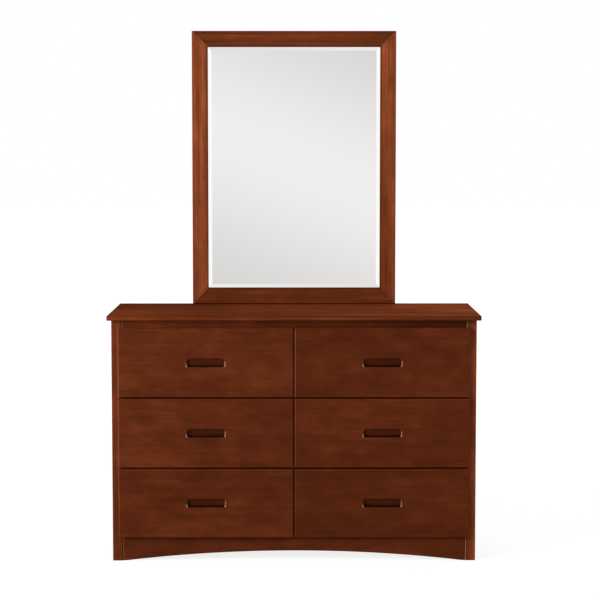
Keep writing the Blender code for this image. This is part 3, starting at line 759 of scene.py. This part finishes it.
def painted_highlights(tree, colour, highlighted):
    """The colour with a painted highlight's pale colour mixed in, in each of the given boxes."""
    for box, soft, share in highlighted:
        highlight_share = add(
            tree,
            "ShaderNodeMath",
            {"operation": "MULTIPLY"},
            {0: inside_box(tree, *box, soft), 1: share},
        )
        mixed = add(
            tree,
            "ShaderNodeMix",
            {"data_type": "RGBA"},
            {0: highlight_share, 6: colour, 7: linear(HIGHLIGHT_COLOUR)},
        )
        colour = mixed.outputs[2]
    return colour


print("pores start at", PORE_START, "and are darkest from", PORE_FULL)

# %% [markdown]
# ## The lacquer
# Over the stain lies satin lacquer. It scatters what it reflects into a soft, warm sheen, and the
# fibres and pores, which the spray didn't quite fill, give it a fine relief. Where use has polished
# the lacquer it is smooth, and there it catches the softboxes in small bright lines.

# %% Stained wood
SHEEN = "ffa07c"  # the sheen comes from within the stained wood, so it is warm
SATIN = (0.56, 0.7)  # the roughness, which varies with the fibres
GLOSS = 0.12  # the roughness where use has polished the lacquer
GLOSS_SOFT = 0.0006  # metres over which a polished place ends
FIBRE_RELIEF = 0.8
PORE_RELIEF = -0.6  # below 0, because pores are hollows
RELIEF = 0.0002  # metres between the highest and the lowest of them
RELIEF_STRENGTH = 0.25


def stained_wood(name, low, high, offset, finish, stain_and_shade_marks, glossy, highlighted):
    """Hardwood stained red-brown under satin lacquer, which gives a broad, soft sheen."""
    material, tree = new_material(f"stained_wood_{name}")
    place = grain_place(tree, finish["grain"], offset)
    fibre = stretched_noise(tree, place, FIBRE, detail=2.0)
    pore = stretched_noise(tree, place, PORE, detail=1.0)
    colour = figured_colour(tree, place, finish, fibre)
    for tone in board_tones(tree, low, high, finish, stain_and_shade_marks, pore):
        colour = add(
            tree, "ShaderNodeVectorMath", {"operation": "SCALE"}, {0: colour, "Scale": tone}
        )
    rough = add(
        tree,
        "ShaderNodeMapRange",
        inputs={"Value": fibre, "To Min": SATIN[0], "To Max": SATIN[1]},
    )
    for box in glossy:
        shine = inside_box(tree, *box, GLOSS_SOFT)
        rough = add(
            tree, "ShaderNodeMix", {"data_type": "FLOAT"}, {0: shine, 2: rough, 3: GLOSS}
        )
    height = weighted(tree, [(fibre, FIBRE_RELIEF), (pore, PORE_RELIEF)])
    bump = add(
        tree,
        "ShaderNodeBump",
        inputs={"Strength": RELIEF_STRENGTH, "Distance": RELIEF, "Height": height},
    )
    shader = add(
        tree,
        "ShaderNodeBsdfPrincipled",
        inputs={
            "Base Color": painted_highlights(tree, colour, highlighted),
            "Roughness": rough,
            "Specular IOR Level": finish["sheen"],
            "Specular Tint": linear(SHEEN),
            "Normal": bump,
        },
    )
    add(tree, "ShaderNodeOutputMaterial", inputs={"Surface": shader})
    return material


print("satin is", SATIN[0], "to", SATIN[1], "rough, and a polished place", GLOSS)

# %% [markdown]
# Each board gets its own copy of the finish, described by a few values. They start from those of a
# plain board, such as a rail inside the dresser.

# %% A plain board
PLAIN_BOARD = {
    "grain": "x",
    "tone": 1.0,
    "contrast": 1.0,  # the power that CONTRAST is raised to
    "figure": 0.4,  # the weight of the streaks
    "mottle": 1.1,
    "sheen": 0.2,  # the shader's specular level
    "edge_tone": 1.8,  # above 1 where the stain is sanded thin and for a painted highlight, below 1 for painted shade
    "mitred": False,
    # painted light and shade across the board, if any
    "painted_light": None,
    "left_arris": 0.0,  # the share of the painted highlight's pale colour on this arris
    "right_arris": 1.0,  # the tone of the painted shade on this one
}
print("values that describe a finish:", len(PLAIN_BOARD))

# %% [markdown]
# No two boards took the stain alike. The top, the stiles and the mirror's frame came out lighter
# than the drawer fronts, and on the top and the frame the streaks show more than the mottle. On the
# top and on the right stile the lighter tone is also painted light, for the little light on the top
# and for the drawers' shadow on the stile. The table holds what is special about a board, under its
# name or the start of it. Where several entries fit a board, the values of the lowest one hold.

# %% Finishes
STILE_FACE_END = -0.184  # metres along Y
TOP_FACE_END = -0.2075
FINISHES = {
    "top_panel": {
        "tone": 1.62,
        "contrast": 1.3,
        "figure": 1.0,
        "mottle": 0.5,
        "sheen": 0.003,  # next to none, because a board seen so flatly mirrors the most
        # painted shade along the top's edges
        "edge_tone": 0.6,
        # painted light and shade: the front face lighter on the left, the upper side darker at its
        # rear left
        "painted_light": {
            "across": (1.32, 0.52),
            "face_end": TOP_FACE_END,
            "front": (1.10, 1.02),
            "rear": (0.45, 1.24),
        },
    },
    "side_panel_": {"grain": "z"},
    "front_stile_": {"grain": "z", "contrast": 1.2},
    "front_stile_left": {
        "tone": 1.3,
        # painted light: darker towards the floor
        "painted_light": {"upward": (0.86, 1.12), "face_end": STILE_FACE_END},
        "right_arris": 0.3,
    },
    "front_stile_right": {
        # a lighter tone as painted light, and darker beside the drawers as their painted shadow
        "tone": 2.3,
        "painted_light": {"across": (0.3, 1.2), "face_end": STILE_FACE_END},
        "left_arris": 0.6,
    },
    "centre_partition": {"grain": "y"},
    "front_rail_top": {
        # painted shade under the top's overhang, darker towards the right and towards the rail's foot
        "painted_light": {"across": (1.7, 0.62), "upward": (0.5, 1.3)},
        "left_arris": 0.75,
        "right_arris": 0.5,
    },
    "base_apron": {"tone": 0.95, "left_arris": 0.25, "right_arris": 0.3},
    "drawer_guide_": {"grain": "y"},
    # painted light across each column of fronts
    "drawer_left_": {"painted_light": {"across": (1.04, 0.94)}},
    "drawer_left_1": {"tone": 0.94},
    "drawer_right_": {"tone": 0.91, "painted_light": {"across": (0.97, 1.1)}},
    "mirror_support_": {"grain": "z"},
    "mirror_frame_": {
        "tone": 1.35,
        "contrast": 1.6,
        "figure": 1.0,
        "mottle": 0.5,
        "edge_tone": 1.2,
        "mitred": True,
    },
    "mirror_frame_left": {"grain": "z", "tone": 2.3},
    "mirror_frame_right": {"grain": "z", "tone": 2.35},
}


def finish_of(name):
    """The plain board's finish with what is special about this one."""
    finish = dict(PLAIN_BOARD)
    for start, special in FINISHES.items():
        if name.startswith(start):
            finish.update(special)
    return finish


print("special finishes:", len(FINISHES))

# %% [markdown]
# The stiles, the top rail and the apron meet in joints with rounded arrises. What shows of a joint
# is a thin line, pale on the arris that faces the key lamp, and dark on the one that faces away.
# The CAD has these roundings, of 2 or 3 mm, but a pixel of the picture is wider than that. So a
# painted highlight on each left arris and painted shade on each right one make the line show.

# %% Arrises
OUTSIDE = 0.001  # metres that a mark reaches out of the wood, so that the faces are well inside it
ARRIS_WIDTH = 0.0018  # metres
HIGHLIGHT_SOFT = 0.0008  # metres over which a painted highlight ends


def arris_marks(low, high, finish):
    """Painted highlight on the left arris and painted shade on the right one, at a board's joints."""
    stain_and_shade_marks = []
    highlighted = []
    if finish["left_arris"] > 0:
        box = (low - Vector((OUTSIDE, OUTSIDE, 0)), Vector((low.x + ARRIS_WIDTH, high.y, high.z)))
        highlighted.append((box, HIGHLIGHT_SOFT, finish["left_arris"]))
    if finish["right_arris"] < 1:
        foot = Vector((high.x - ARRIS_WIDTH, low.y - OUTSIDE, low.z))
        stain_and_shade_marks.append(((foot, high + Vector((OUTSIDE, 0, 0))), LINE_SOFT, finish["right_arris"]))
    return stain_and_shade_marks, highlighted


print("an arris is", round(ARRIS_WIDTH * 1000, 1), "mm wide")

# %% [markdown]
# A drawer front carries the most marks. The routed pull cuts across the grain, and the open wood in
# it drinks more stain. Painted shade darkens the pull further, most of all in the groove at its foot
# where the fingertips hook in, and on the upper lip.

# %% Stain and painted shade in the pulls
# All lengths are in metres.
PULL_HALF = Vector((0.0622, 0.0, 0.0150))  # half of the pull's mouth, along X and Z
PULL_DEPTHS = (0.0012, 0.0140)  # behind the face, between which the wood counts as in the pull
# deeper stain and painted shade in the pull's recess
PULL_STAIN_AND_SHADE = 0.55
GROOVE_DEPTH = 0.003  # past the pull's first depth
GROOVE_RISE = 0.0065  # from the foot of the mouth
# painted shade in the groove at the foot
GROOVE_SHADE = 0.45
LIP_END = 0.004  # from an end of the mouth to the dark part of its upper lip
LIP_FRONT = 0.003  # from the pull's first depth forwards, past the face
LIP_BAND = (0.0010, 0.0012)  # below and above the top of the mouth
# painted shade on the upper lip
LIP_SHADE = 0.6


def pull_stain_and_shade(face):
    """Deeper stain and painted shade in a pull, most in the groove at its foot and on its lip."""
    low = face - PULL_HALF + Vector((0, PULL_DEPTHS[0], 0))
    high = face + PULL_HALF + Vector((0, PULL_DEPTHS[1], 0))
    groove = (low + Vector((0, GROOVE_DEPTH, 0)), Vector((high.x, high.y, low.z + GROOVE_RISE)))
    upper_lip = (
        Vector((low.x + LIP_END, low.y - LIP_FRONT, high.z - LIP_BAND[0])),
        Vector((high.x - LIP_END, low.y, high.z + LIP_BAND[1])),
    )
    return [
        ((low, high), LINE_SOFT, PULL_STAIN_AND_SHADE),
        (groove, 2 * LINE_SOFT, GROOVE_SHADE),
        (upper_lip, LINE_SOFT, LIP_SHADE),
    ]


print("the pull's mouth is", [round(2000 * x, 1) for x in (PULL_HALF.x, PULL_HALF.z)], "mm")

# %% [markdown]
# Hands have polished the two ends of a pull, and the left edge of a front, more on the upper
# drawers, and a highlight is painted there as well. Both marks can lie in one place: where the
# highlight is painted the wood is pale, and where the lacquer is polished it glints.

# %% Polished places and painted highlights
# All lengths are in metres.
GLINT_DEPTH = 0.012  # behind the face
GLINTS = (  # polished ends of the pull, from its middle: left, right, foot and top
    (0.0570, 0.0628, -0.0160, 0.0090),
    (-0.0628, -0.0555, -0.0160, -0.0060),
)
HIGHLIGHT_DEPTH = 0.0015  # behind the face
HIGHLIGHTED_ENDS = (  # the same four places, and the share of the painted highlight's pale colour
    (0.0597, 0.0637, -0.0115, 0.0060, 0.62),
    (-0.0637, -0.0590, -0.0125, -0.0020, 0.55),
)
HIGHLIGHTED_EDGE = (0.0012, 0.004)  # from a front's left side, and from its face
HIGHLIGHTED_EDGE_SHARE = {"1": 0.05, "2": 0.2, "3": 0.42}  # by row, counted from the floor
POLISHED_EDGE = 0.0025  # from a front's left side
POLISHED_ROWS = ("2", "3")


def front_marks(low, high, row):
    """A front's places of stain and painted shade, of polished lacquer, and of painted highlights."""
    face = Vector(((low.x + high.x) / 2, low.y, (low.z + high.z) / 2))
    glossy = [
        (face + Vector((left, -OUTSIDE, foot)), face + Vector((right, GLINT_DEPTH, top)))
        for left, right, foot, top in GLINTS
    ]
    highlighted = []
    for left, right, foot, top, share in HIGHLIGHTED_ENDS:
        box = (
            face + Vector((left, -OUTSIDE, foot)),
            face + Vector((right, HIGHLIGHT_DEPTH, top)),
        )
        highlighted.append((box, HIGHLIGHT_SOFT, share))
    corner = low - Vector((OUTSIDE, OUTSIDE, 0))
    if row in POLISHED_ROWS:
        glossy.append((corner, Vector((low.x + POLISHED_EDGE, high.y, high.z))))
    edge = (corner, Vector((low.x + HIGHLIGHTED_EDGE[0], low.y + HIGHLIGHTED_EDGE[1], high.z)))
    highlighted.append((edge, HIGHLIGHT_SOFT, HIGHLIGHTED_EDGE_SHARE[row]))
    return pull_stain_and_shade(face), glossy, highlighted


print("polished places of a pull:", len(GLINTS), "and rubbed ones:", len(HIGHLIGHTED_ENDS))

# %% [markdown]
# Now the boards can be dressed. Each one gets a material of its own, because its grain, its marks
# and its place in the pattern are its own. These places are metres apart, so no two boards look as
# if they were sawn from the same spot.

# %% Dress the boards
BOARD_STEP = Vector((3.1, 1.7, 0.9))  # metres between the places that two boards come from


def in_slot(slot):
    """The names of the boards that the record gives a material slot."""
    return [row["node"] for row in frame["record"]["subparts"] if row["material_slot"] == slot]


def give(name, material):
    """Gives a solid one material, and takes off what it had."""
    nodes[name].data.materials.clear()
    nodes[name].data.materials.append(material)


stained = in_slot("stained_wood")
for number, name in enumerate(stained):
    low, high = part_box(name)
    finish = finish_of(name)
    stain_and_shade_marks, highlighted = arris_marks(low, high, finish)
    glossy = []
    if name.endswith("_front"):
        stain_and_shade_marks, glossy, highlighted = front_marks(low, high, row=name.split("_")[2])
    offset = BOARD_STEP * (number + 1)
    give(name, stained_wood(name, low, high, offset, finish, stain_and_shade_marks, glossy, highlighted))
print("stained boards:", len(stained))

# %% [markdown]
# ## Bare wood
# The drawer boxes are a pale hardwood, planed and sealed but not stained, because nobody sees them
# while the drawers are shut. Without the stain the figure shows better, so the same pattern is
# used with more of its streaks and without its mottle.

# %% Drawer boxes
BOX_DARK = "b5885c"
BOX_LIGHT = "dbb68a"
RAMP_ENDS = (0.2, 0.8)  # a pattern's values at its dark and at its light colour
BOX_FIGURE = 1.4
BOX_FIBRE = 0.8
BOX_ROUGHNESS = 0.55
BOX_RELIEF_STRENGTH = 0.3
BOX_STEP = Vector((2.3, 1.1, 0.7))  # metres, as BOARD_STEP


def drawer_box_wood(name, grain, offset):
    """Pale sealed hardwood, planed, with a fine straight grain."""
    material, tree = new_material(f"box_wood_{name}")
    place = grain_place(tree, grain, offset)
    figure = stretched_noise(tree, place, FIGURE, detail=3.0)
    fibre = stretched_noise(tree, place, FIBRE, detail=2.0)
    colour = add(
        tree,
        "ShaderNodeValToRGB",
        inputs={"Fac": weighted(tree, [(figure, BOX_FIGURE), (fibre, BOX_FIBRE)])},
        stops=list(zip(RAMP_ENDS, (linear(BOX_DARK), linear(BOX_LIGHT)))),
    )
    bump = add(
        tree,
        "ShaderNodeBump",
        inputs={"Strength": BOX_RELIEF_STRENGTH, "Distance": RELIEF, "Height": fibre},
    )
    shader = add(
        tree,
        "ShaderNodeBsdfPrincipled",
        inputs={"Base Color": colour, "Roughness": BOX_ROUGHNESS, "Normal": bump},
    )
    add(tree, "ShaderNodeOutputMaterial", inputs={"Surface": shader})
    return material


box_pieces = in_slot("drawer_box_wood")
for number, name in enumerate(box_pieces):
    grain = "y" if "_side_" in name else "x"
    give(name, drawer_box_wood(name, grain, BOX_STEP * (number + 1)))
print("drawer box boards:", len(box_pieces))

# %% [markdown]
# ## Hardboard
# The dresser's back and the board behind the glass are hardboard: wood fibre pressed hot until it
# is brown and smooth on one side. It has no grain. What the eye finds is a fine speckle of fibre
# clumps and a faint change of tone from place to place, and one material serves both boards.

# %% Hardboard
HARDBOARD_DARK = "643d27"
HARDBOARD_LIGHT = "8c5d40"
FIBRE_CLUMP = 4.0  # millimetres
HARDBOARD_CLOUD = 250  # millimetres
CLUMP_WEIGHT = 1.2
HARDBOARD_CLOUD_WEIGHT = 0.6
HARDBOARD_ROUGHNESS = 0.65
HARDBOARD_SHEEN = 0.25


def hardboard():
    """Tempered hardboard: brown fibre pressed smooth, with a faint speckle."""
    material, tree = new_material("pressed_hardboard")
    place = add(tree, "ShaderNodeTexCoord")
    speckle, cloud = (
        add(
            tree,
            "ShaderNodeTexNoise",
            inputs={
                "Vector": place.outputs["Object"],
                "Scale": per_metre(size),
                "Detail": detail,
            },
        )
        for size, detail in ((FIBRE_CLUMP, 3.0), (HARDBOARD_CLOUD, 1.0))
    )
    value = weighted(tree, [(speckle, CLUMP_WEIGHT), (cloud, HARDBOARD_CLOUD_WEIGHT)])
    colour = add(
        tree,
        "ShaderNodeValToRGB",
        inputs={"Fac": value},
        stops=list(zip(RAMP_ENDS, (linear(HARDBOARD_DARK), linear(HARDBOARD_LIGHT)))),
    )
    shader = add(
        tree,
        "ShaderNodeBsdfPrincipled",
        inputs={
            "Base Color": colour,
            "Roughness": HARDBOARD_ROUGHNESS,
            "Specular IOR Level": HARDBOARD_SHEEN,
        },
    )
    add(tree, "ShaderNodeOutputMaterial", inputs={"Surface": shader})
    return material


pressed = hardboard()
for name in ("back_panel", "mirror_backboard"):
    give(name, pressed)
print("hardboard done")

# %% [markdown]
# ## Silvered glass
# Float glass silvered on its back gives back nearly all light, in a sharp image. Real glass over a
# silver layer would take two surfaces and many bounces, while a very smooth metal shows the same.
# Only the bevel needs care. There the light crosses a wedge of glass twice, which bends it the other
# way than a bare sloping metal would. So the X and Z of the surface's normal change sign. On the
# flat of the glass they are zero, and nothing changes.

# %% Mirror glass
GLASS_COLOUR = "fafaf9"
GLASS_ROUGHNESS = 0.01
BEVEL_BEND = 1.0  # how far the wedge throws the image, where a bare slope would throw it -1


def silvered_glass():
    """A metal so smooth that it mirrors, with the bevel's slope turned round."""
    material, tree = new_material("silvered_float_glass")
    surface = add(tree, "ShaderNodeNewGeometry")
    bent = add(
        tree,
        "ShaderNodeVectorMath",
        {"operation": "MULTIPLY"},
        {0: surface.outputs["Normal"], 1: (-BEVEL_BEND, 1.0, -BEVEL_BEND)},
    )
    normal = add(tree, "ShaderNodeVectorMath", {"operation": "NORMALIZE"}, {0: bent})
    shader = add(
        tree,
        "ShaderNodeBsdfPrincipled",
        inputs={
            "Base Color": linear(GLASS_COLOUR),
            "Metallic": 1.0,
            "Roughness": GLASS_ROUGHNESS,
            "Normal": normal,
        },
    )
    add(tree, "ShaderNodeOutputMaterial", inputs={"Surface": shader})
    return material


give("mirror_glass", silvered_glass())
print("mirror glass done")

# %% [markdown]
# ## Fasteners and glue
# The mirror hangs on two uprights behind the dresser, and small steel fasteners hold it all
# together. They are too small to show a pattern, so each material is one colour: warm grey for a
# zinc coat, a whiter one for drawn wire, and amber for dried glue. All pieces are made in place
# with bmesh, because an export expects every object at the origin, and they ride on the case.


# %% Steel and glue
def plain_material(name, hex_colour, roughness, metallic=0.0):
    """A material of one colour, for pieces too small to show a pattern."""
    material, tree = new_material(name)
    shader = add(
        tree,
        "ShaderNodeBsdfPrincipled",
        inputs={
            "Base Color": linear(hex_colour),
            "Roughness": roughness,
            "Metallic": metallic,
        },
    )
    add(tree, "ShaderNodeOutputMaterial", inputs={"Surface": shader})
    return material


def new_piece(name, bm, material):
    """Turns a finished bmesh into a piece that moves with the case."""
    bmesh.ops.recalc_face_normals(bm, faces=bm.faces)
    piece = to_object(name, bm)
    piece.data.materials.append(material)
    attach(piece, "case")


zinc = plain_material("zinc_plated_steel", "bdb8a8", 0.35, metallic=1.0)
steel = plain_material("bright_steel_wire", "c4c4c2", 0.3, metallic=1.0)
glue = plain_material("dried_wood_glue", "9a6238", 0.6)
print("steel and glue mixed")

# %% [markdown]
# Ten countersunk screws fix the two uprights, to the case below and to the mirror's frame above.
# The CAD has their holes. The cross in a head could be cut with a boolean, but that leaves thin
# triangles. So a screw starts as a grid of three by three faces, whose middle row and column are
# the cross. They are inset and pushed down for the recess.

# %% Cross recess
# All lengths are in metres.
CROSS_HALF = 0.0019
CROSS_ARM = 0.0005
CROSS_INSET = 0.0002  # the rim of faces that become the recess's walls
CROSS_TAPER = 0.6  # how much narrower the recess grows from there to its bottom
CROSS_DEPTH = 0.0013


def cross_plate(bm):
    """A square plate with a tapered cross sunk into its middle. Its outline is left open."""
    bmesh.ops.create_grid(bm, x_segments=3, y_segments=3, size=1.0)
    for vert in bm.verts:
        for axis in (0, 1):
            on_outline = abs(vert.co[axis]) > 0.5
            half = CROSS_HALF if on_outline else CROSS_ARM
            vert.co[axis] = math.copysign(half, vert.co[axis])
    middles = [(face, face.calc_center_median()) for face in bm.faces]
    cross = [face for face, at in middles if min(abs(at.x), abs(at.y)) < CROSS_ARM]
    bmesh.ops.inset_region(bm, faces=cross, thickness=CROSS_INSET)
    sunk = list({vert for face in cross for vert in face.verts})
    bmesh.ops.scale(bm, verts=sunk, vec=(CROSS_TAPER, CROSS_TAPER, 1.0))
    bmesh.ops.translate(bm, verts=sunk, vec=(0, 0, -CROSS_DEPTH))


print("a recess is", round(CROSS_DEPTH * 1000, 1), "mm deep")

# %% [markdown]
# The grid's outline is bridged to a round rim, and the rim is extruded twice: down and inwards for
# the cone of the head, and straight down for the shank. Each screw stopped at an angle of its own,
# as real ones do.

# %% Screws
# All lengths are in metres.
HEAD_RADIUS = 0.0042
HEAD_HEIGHT = 0.0022
SHANK_RADIUS = 0.0020
SHANK_LENGTH = 0.0172  # below the head, so that it ends inside the 18 mm support
HEAD_SUNK = 0.0002  # how far the head lies below the wood
SCREW_HEIGHTS = (0.5235, 0.7637, 0.862, 1.081, 1.300)
SCREW_TURN = 0.7  # radians from one screw to the next


def open_edges(bm):
    """The edges that bound a hole."""
    return [edge for edge in bm.edges if edge.is_boundary]


def screw(name, place, turn):
    """A flat-headed screw with a cross recess, its head facing +Y."""
    bm = bmesh.new()
    cross_plate(bm)
    bmesh.ops.subdivide_edges(bm, edges=open_edges(bm), cuts=1)
    outline = open_edges(bm)
    bmesh.ops.create_circle(bm, segments=len(outline), radius=HEAD_RADIUS)
    rim = [edge for edge in bm.edges if edge.is_wire]
    bmesh.ops.bridge_loops(bm, edges=outline + rim)
    for depth in (HEAD_HEIGHT, SHANK_LENGTH):
        made = bmesh.ops.extrude_edge_only(bm, edges=open_edges(bm))["geom"]
        ring = [part for part in made if isinstance(part, bmesh.types.BMVert)]
        share = SHANK_RADIUS / ring[0].co.xy.length
        bmesh.ops.scale(bm, verts=ring, vec=(share, share, 1.0))
        for vert in ring:
            vert.co.z = -depth
    bmesh.ops.holes_fill(bm, edges=open_edges(bm))
    facing = Matrix.Rotation(math.radians(-90), 4, "X") @ Matrix.Rotation(turn, 4, "Z")
    bmesh.ops.transform(bm, verts=bm.verts, matrix=Matrix.Translation(place) @ facing)
    new_piece(name, bm, zinc)


screws = 0
for side in ("left", "right"):
    low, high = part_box(f"mirror_support_{side}")
    for number, height in enumerate(SCREW_HEIGHTS, start=1):
        place = ((low.x + high.x) / 2, high.y - HEAD_SUNK, height)
        screw(f"support_screw_{side}_{number}", place, turn=SCREW_TURN * screws)
        screws += 1
print("screws:", screws)

# %% [markdown]
# A back panel is shot on with staples: a row along each edge, lying along it, and a row into each
# of two rails. What shows of a staple is the thin bar between its legs. All of them are bars in a
# single mesh, with their edges rounded as drawn wire is.

# %% Staples
STAPLE = (0.0105, 0.0006, 0.0013)  # metres: its width, how far it stands out, its wire's width
STAPLE_ROOM = 0.0001  # between the wire and the panel
STAPLE_ROUND = 0.0002
STAPLE_EDGE = 0.009  # from the panel's edge
STAPLE_STEP = 0.110  # at most this far apart
CORNER_ROOM = (0.03, 0.05)  # from a corner to the nearest staples, along X and along Z
RAIL_REACH = 0.23  # metres to each side of the middle, for the staples in a rail
LYING = 0.0  # degrees
STANDING = 90.0


def spread(start, end, step):
    """Places from start to end, evenly spread, no more than a step apart."""
    count = math.ceil((end - start) / step)
    return [start + (end - start) * i / count for i in range(count + 1)]


def small_bars(places, y, size):
    """One small bar of the same size at each place, turned in the plane of the back."""
    bm = bmesh.new()
    for x, z, turn in places:
        place = Matrix.Translation((x, y, z)) @ Matrix.Rotation(math.radians(turn), 4, "Y")
        bmesh.ops.create_cube(bm, size=1.0, matrix=place @ Matrix.Diagonal((*size, 1)))
    return bm


low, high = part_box("back_panel")
left, right = low.x + STAPLE_EDGE, high.x - STAPLE_EDGE
bottom, top = low.z + STAPLE_EDGE, high.z - STAPLE_EDGE
staple_places = []
for x in spread(left + CORNER_ROOM[0], right - CORNER_ROOM[0], STAPLE_STEP):
    staple_places += [(x, bottom, LYING), (x, top, LYING)]
for z in spread(bottom + CORNER_ROOM[1], top - CORNER_ROOM[1], STAPLE_STEP):
    staple_places += [(left, z, STANDING), (right, z, STANDING)]
for rail in ("back_rail_lower", "back_rail_upper"):
    rail_low, rail_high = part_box(rail)
    height = (rail_low.z + rail_high.z) / 2
    staple_places += [(x, height, LYING) for x in spread(-RAIL_REACH, RAIL_REACH, STAPLE_STEP)]

bm = small_bars(staple_places, high.y + STAPLE_ROOM + STAPLE[1] / 2, STAPLE)
bmesh.ops.bevel(
    bm,
    geom=list(bm.edges),
    offset=STAPLE_ROUND,
    segments=2,
    profile=0.5,
    affect="EDGES",
    material=-1,
)
new_piece("back_panel_staples", bm, steel)
print("staples:", len(staple_places))

# %% [markdown]
# The board behind the glass is held by glazier's points, flat bits of steel that are pushed into
# the frame's inner side and lie on the board. Only their rounded blades show: four along each side,
# and three along the top and the foot.

# %% Glazier's points
POINT = (0.008, 0.0005, 0.012)  # metres: how much shows, its thickness, its width
POINT_ROOM = 0.0001
POINT_ROUND = 0.002
POINT_HEIGHTS = (0.95, 1.15, 1.38, 1.57)
POINT_PLACES = (-0.2, 0.0, 0.2)  # along X

low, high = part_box("mirror_backboard")
point_places = [
    (x, z, LYING) for z in POINT_HEIGHTS for x in (low.x + POINT[0] / 2, high.x - POINT[0] / 2)
]
point_places += [
    (x, z, STANDING) for x in POINT_PLACES for z in (low.z + POINT[0] / 2, high.z - POINT[0] / 2)
]
bm = small_bars(point_places, high.y + POINT_ROOM + POINT[1] / 2, POINT)
corners = [
    edge
    for edge in bm.edges
    if abs(edge.verts[0].co.y - edge.verts[1].co.y) > POINT[1] / 2
]
bmesh.ops.bevel(
    bm, geom=corners, offset=POINT_ROUND, segments=3, profile=0.5, affect="EDGES", material=-1
)
new_piece("glazier_points", bm, zinc)
print("glazier's points:", len(point_places))

# %% [markdown]
# Light would shine through the mitres of the frame, because two members never quite touch. On the
# real frame a film of glue fills the joint. Here it is two flat bars in each joint: one under the
# face, and one from there to the rear, where the frame is rebated for the glass and so is less
# wide. Both run from the outer corner inwards and stay inside the joint's rounded edges.

# %% Glue lines
# All lengths are in metres.
GLUE_THICKNESS = 0.00036
GLUE_BELOW_FACE = 0.0020
GLUE_BELOW_REAR = 0.0003
GLUE_STEP = 0.0005  # in front of the glass, where the front bar ends and the rear one begins
GLUE_END = 0.0022  # the wood past each end of the front bar, along X
GLUE_REAR_END = 0.0006  # the same for the rear bar
MITRE = math.sqrt(2)  # a mitre's length for each metre along X

glass_low, glass_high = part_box("mirror_glass")
outer_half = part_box("mirror_frame_right")[1].x
sight_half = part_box("mirror_frame_right")[0].x
face_y = mirror_low.y + GLUE_BELOW_FACE
step_y = glass_low.y - GLUE_STEP
rear_y = mirror_high.y - GLUE_BELOW_REAR
glue_bars = (  # from and to, along X from the frame's outer side, and front and rear
    (GLUE_END, outer_half - sight_half - GLUE_END, face_y, step_y),
    (GLUE_REAR_END, outer_half - glass_high.x - GLUE_REAR_END, step_y, rear_y),
)
mirror_middle = (mirror_low.z + mirror_high.z) / 2
outer_rise = (mirror_high.z - mirror_low.z) / 2
for name, side, end in (
    ("top_left", -1, 1),
    ("top_right", 1, 1),
    ("bottom_left", -1, -1),
    ("bottom_right", 1, -1),
):
    bm = bmesh.new()
    corner = Vector((side * outer_half, 0, mirror_middle + end * outer_rise))
    inward = Vector((-side, 0, -end)).normalized()
    turn = Matrix.Rotation(math.atan2(-inward.z, inward.x), 4, "Y")
    for near, far, front, rear in glue_bars:
        place = corner + inward * (near + far) / 2 * MITRE
        place.y = (front + rear) / 2
        size = Matrix.Diagonal(((far - near) * MITRE, rear - front, GLUE_THICKNESS, 1))
        bmesh.ops.create_cube(bm, size=1.0, matrix=Matrix.Translation(place) @ turn @ size)
    new_piece(f"mitre_glue_{name}", bm, glue)
print("glue lines made")
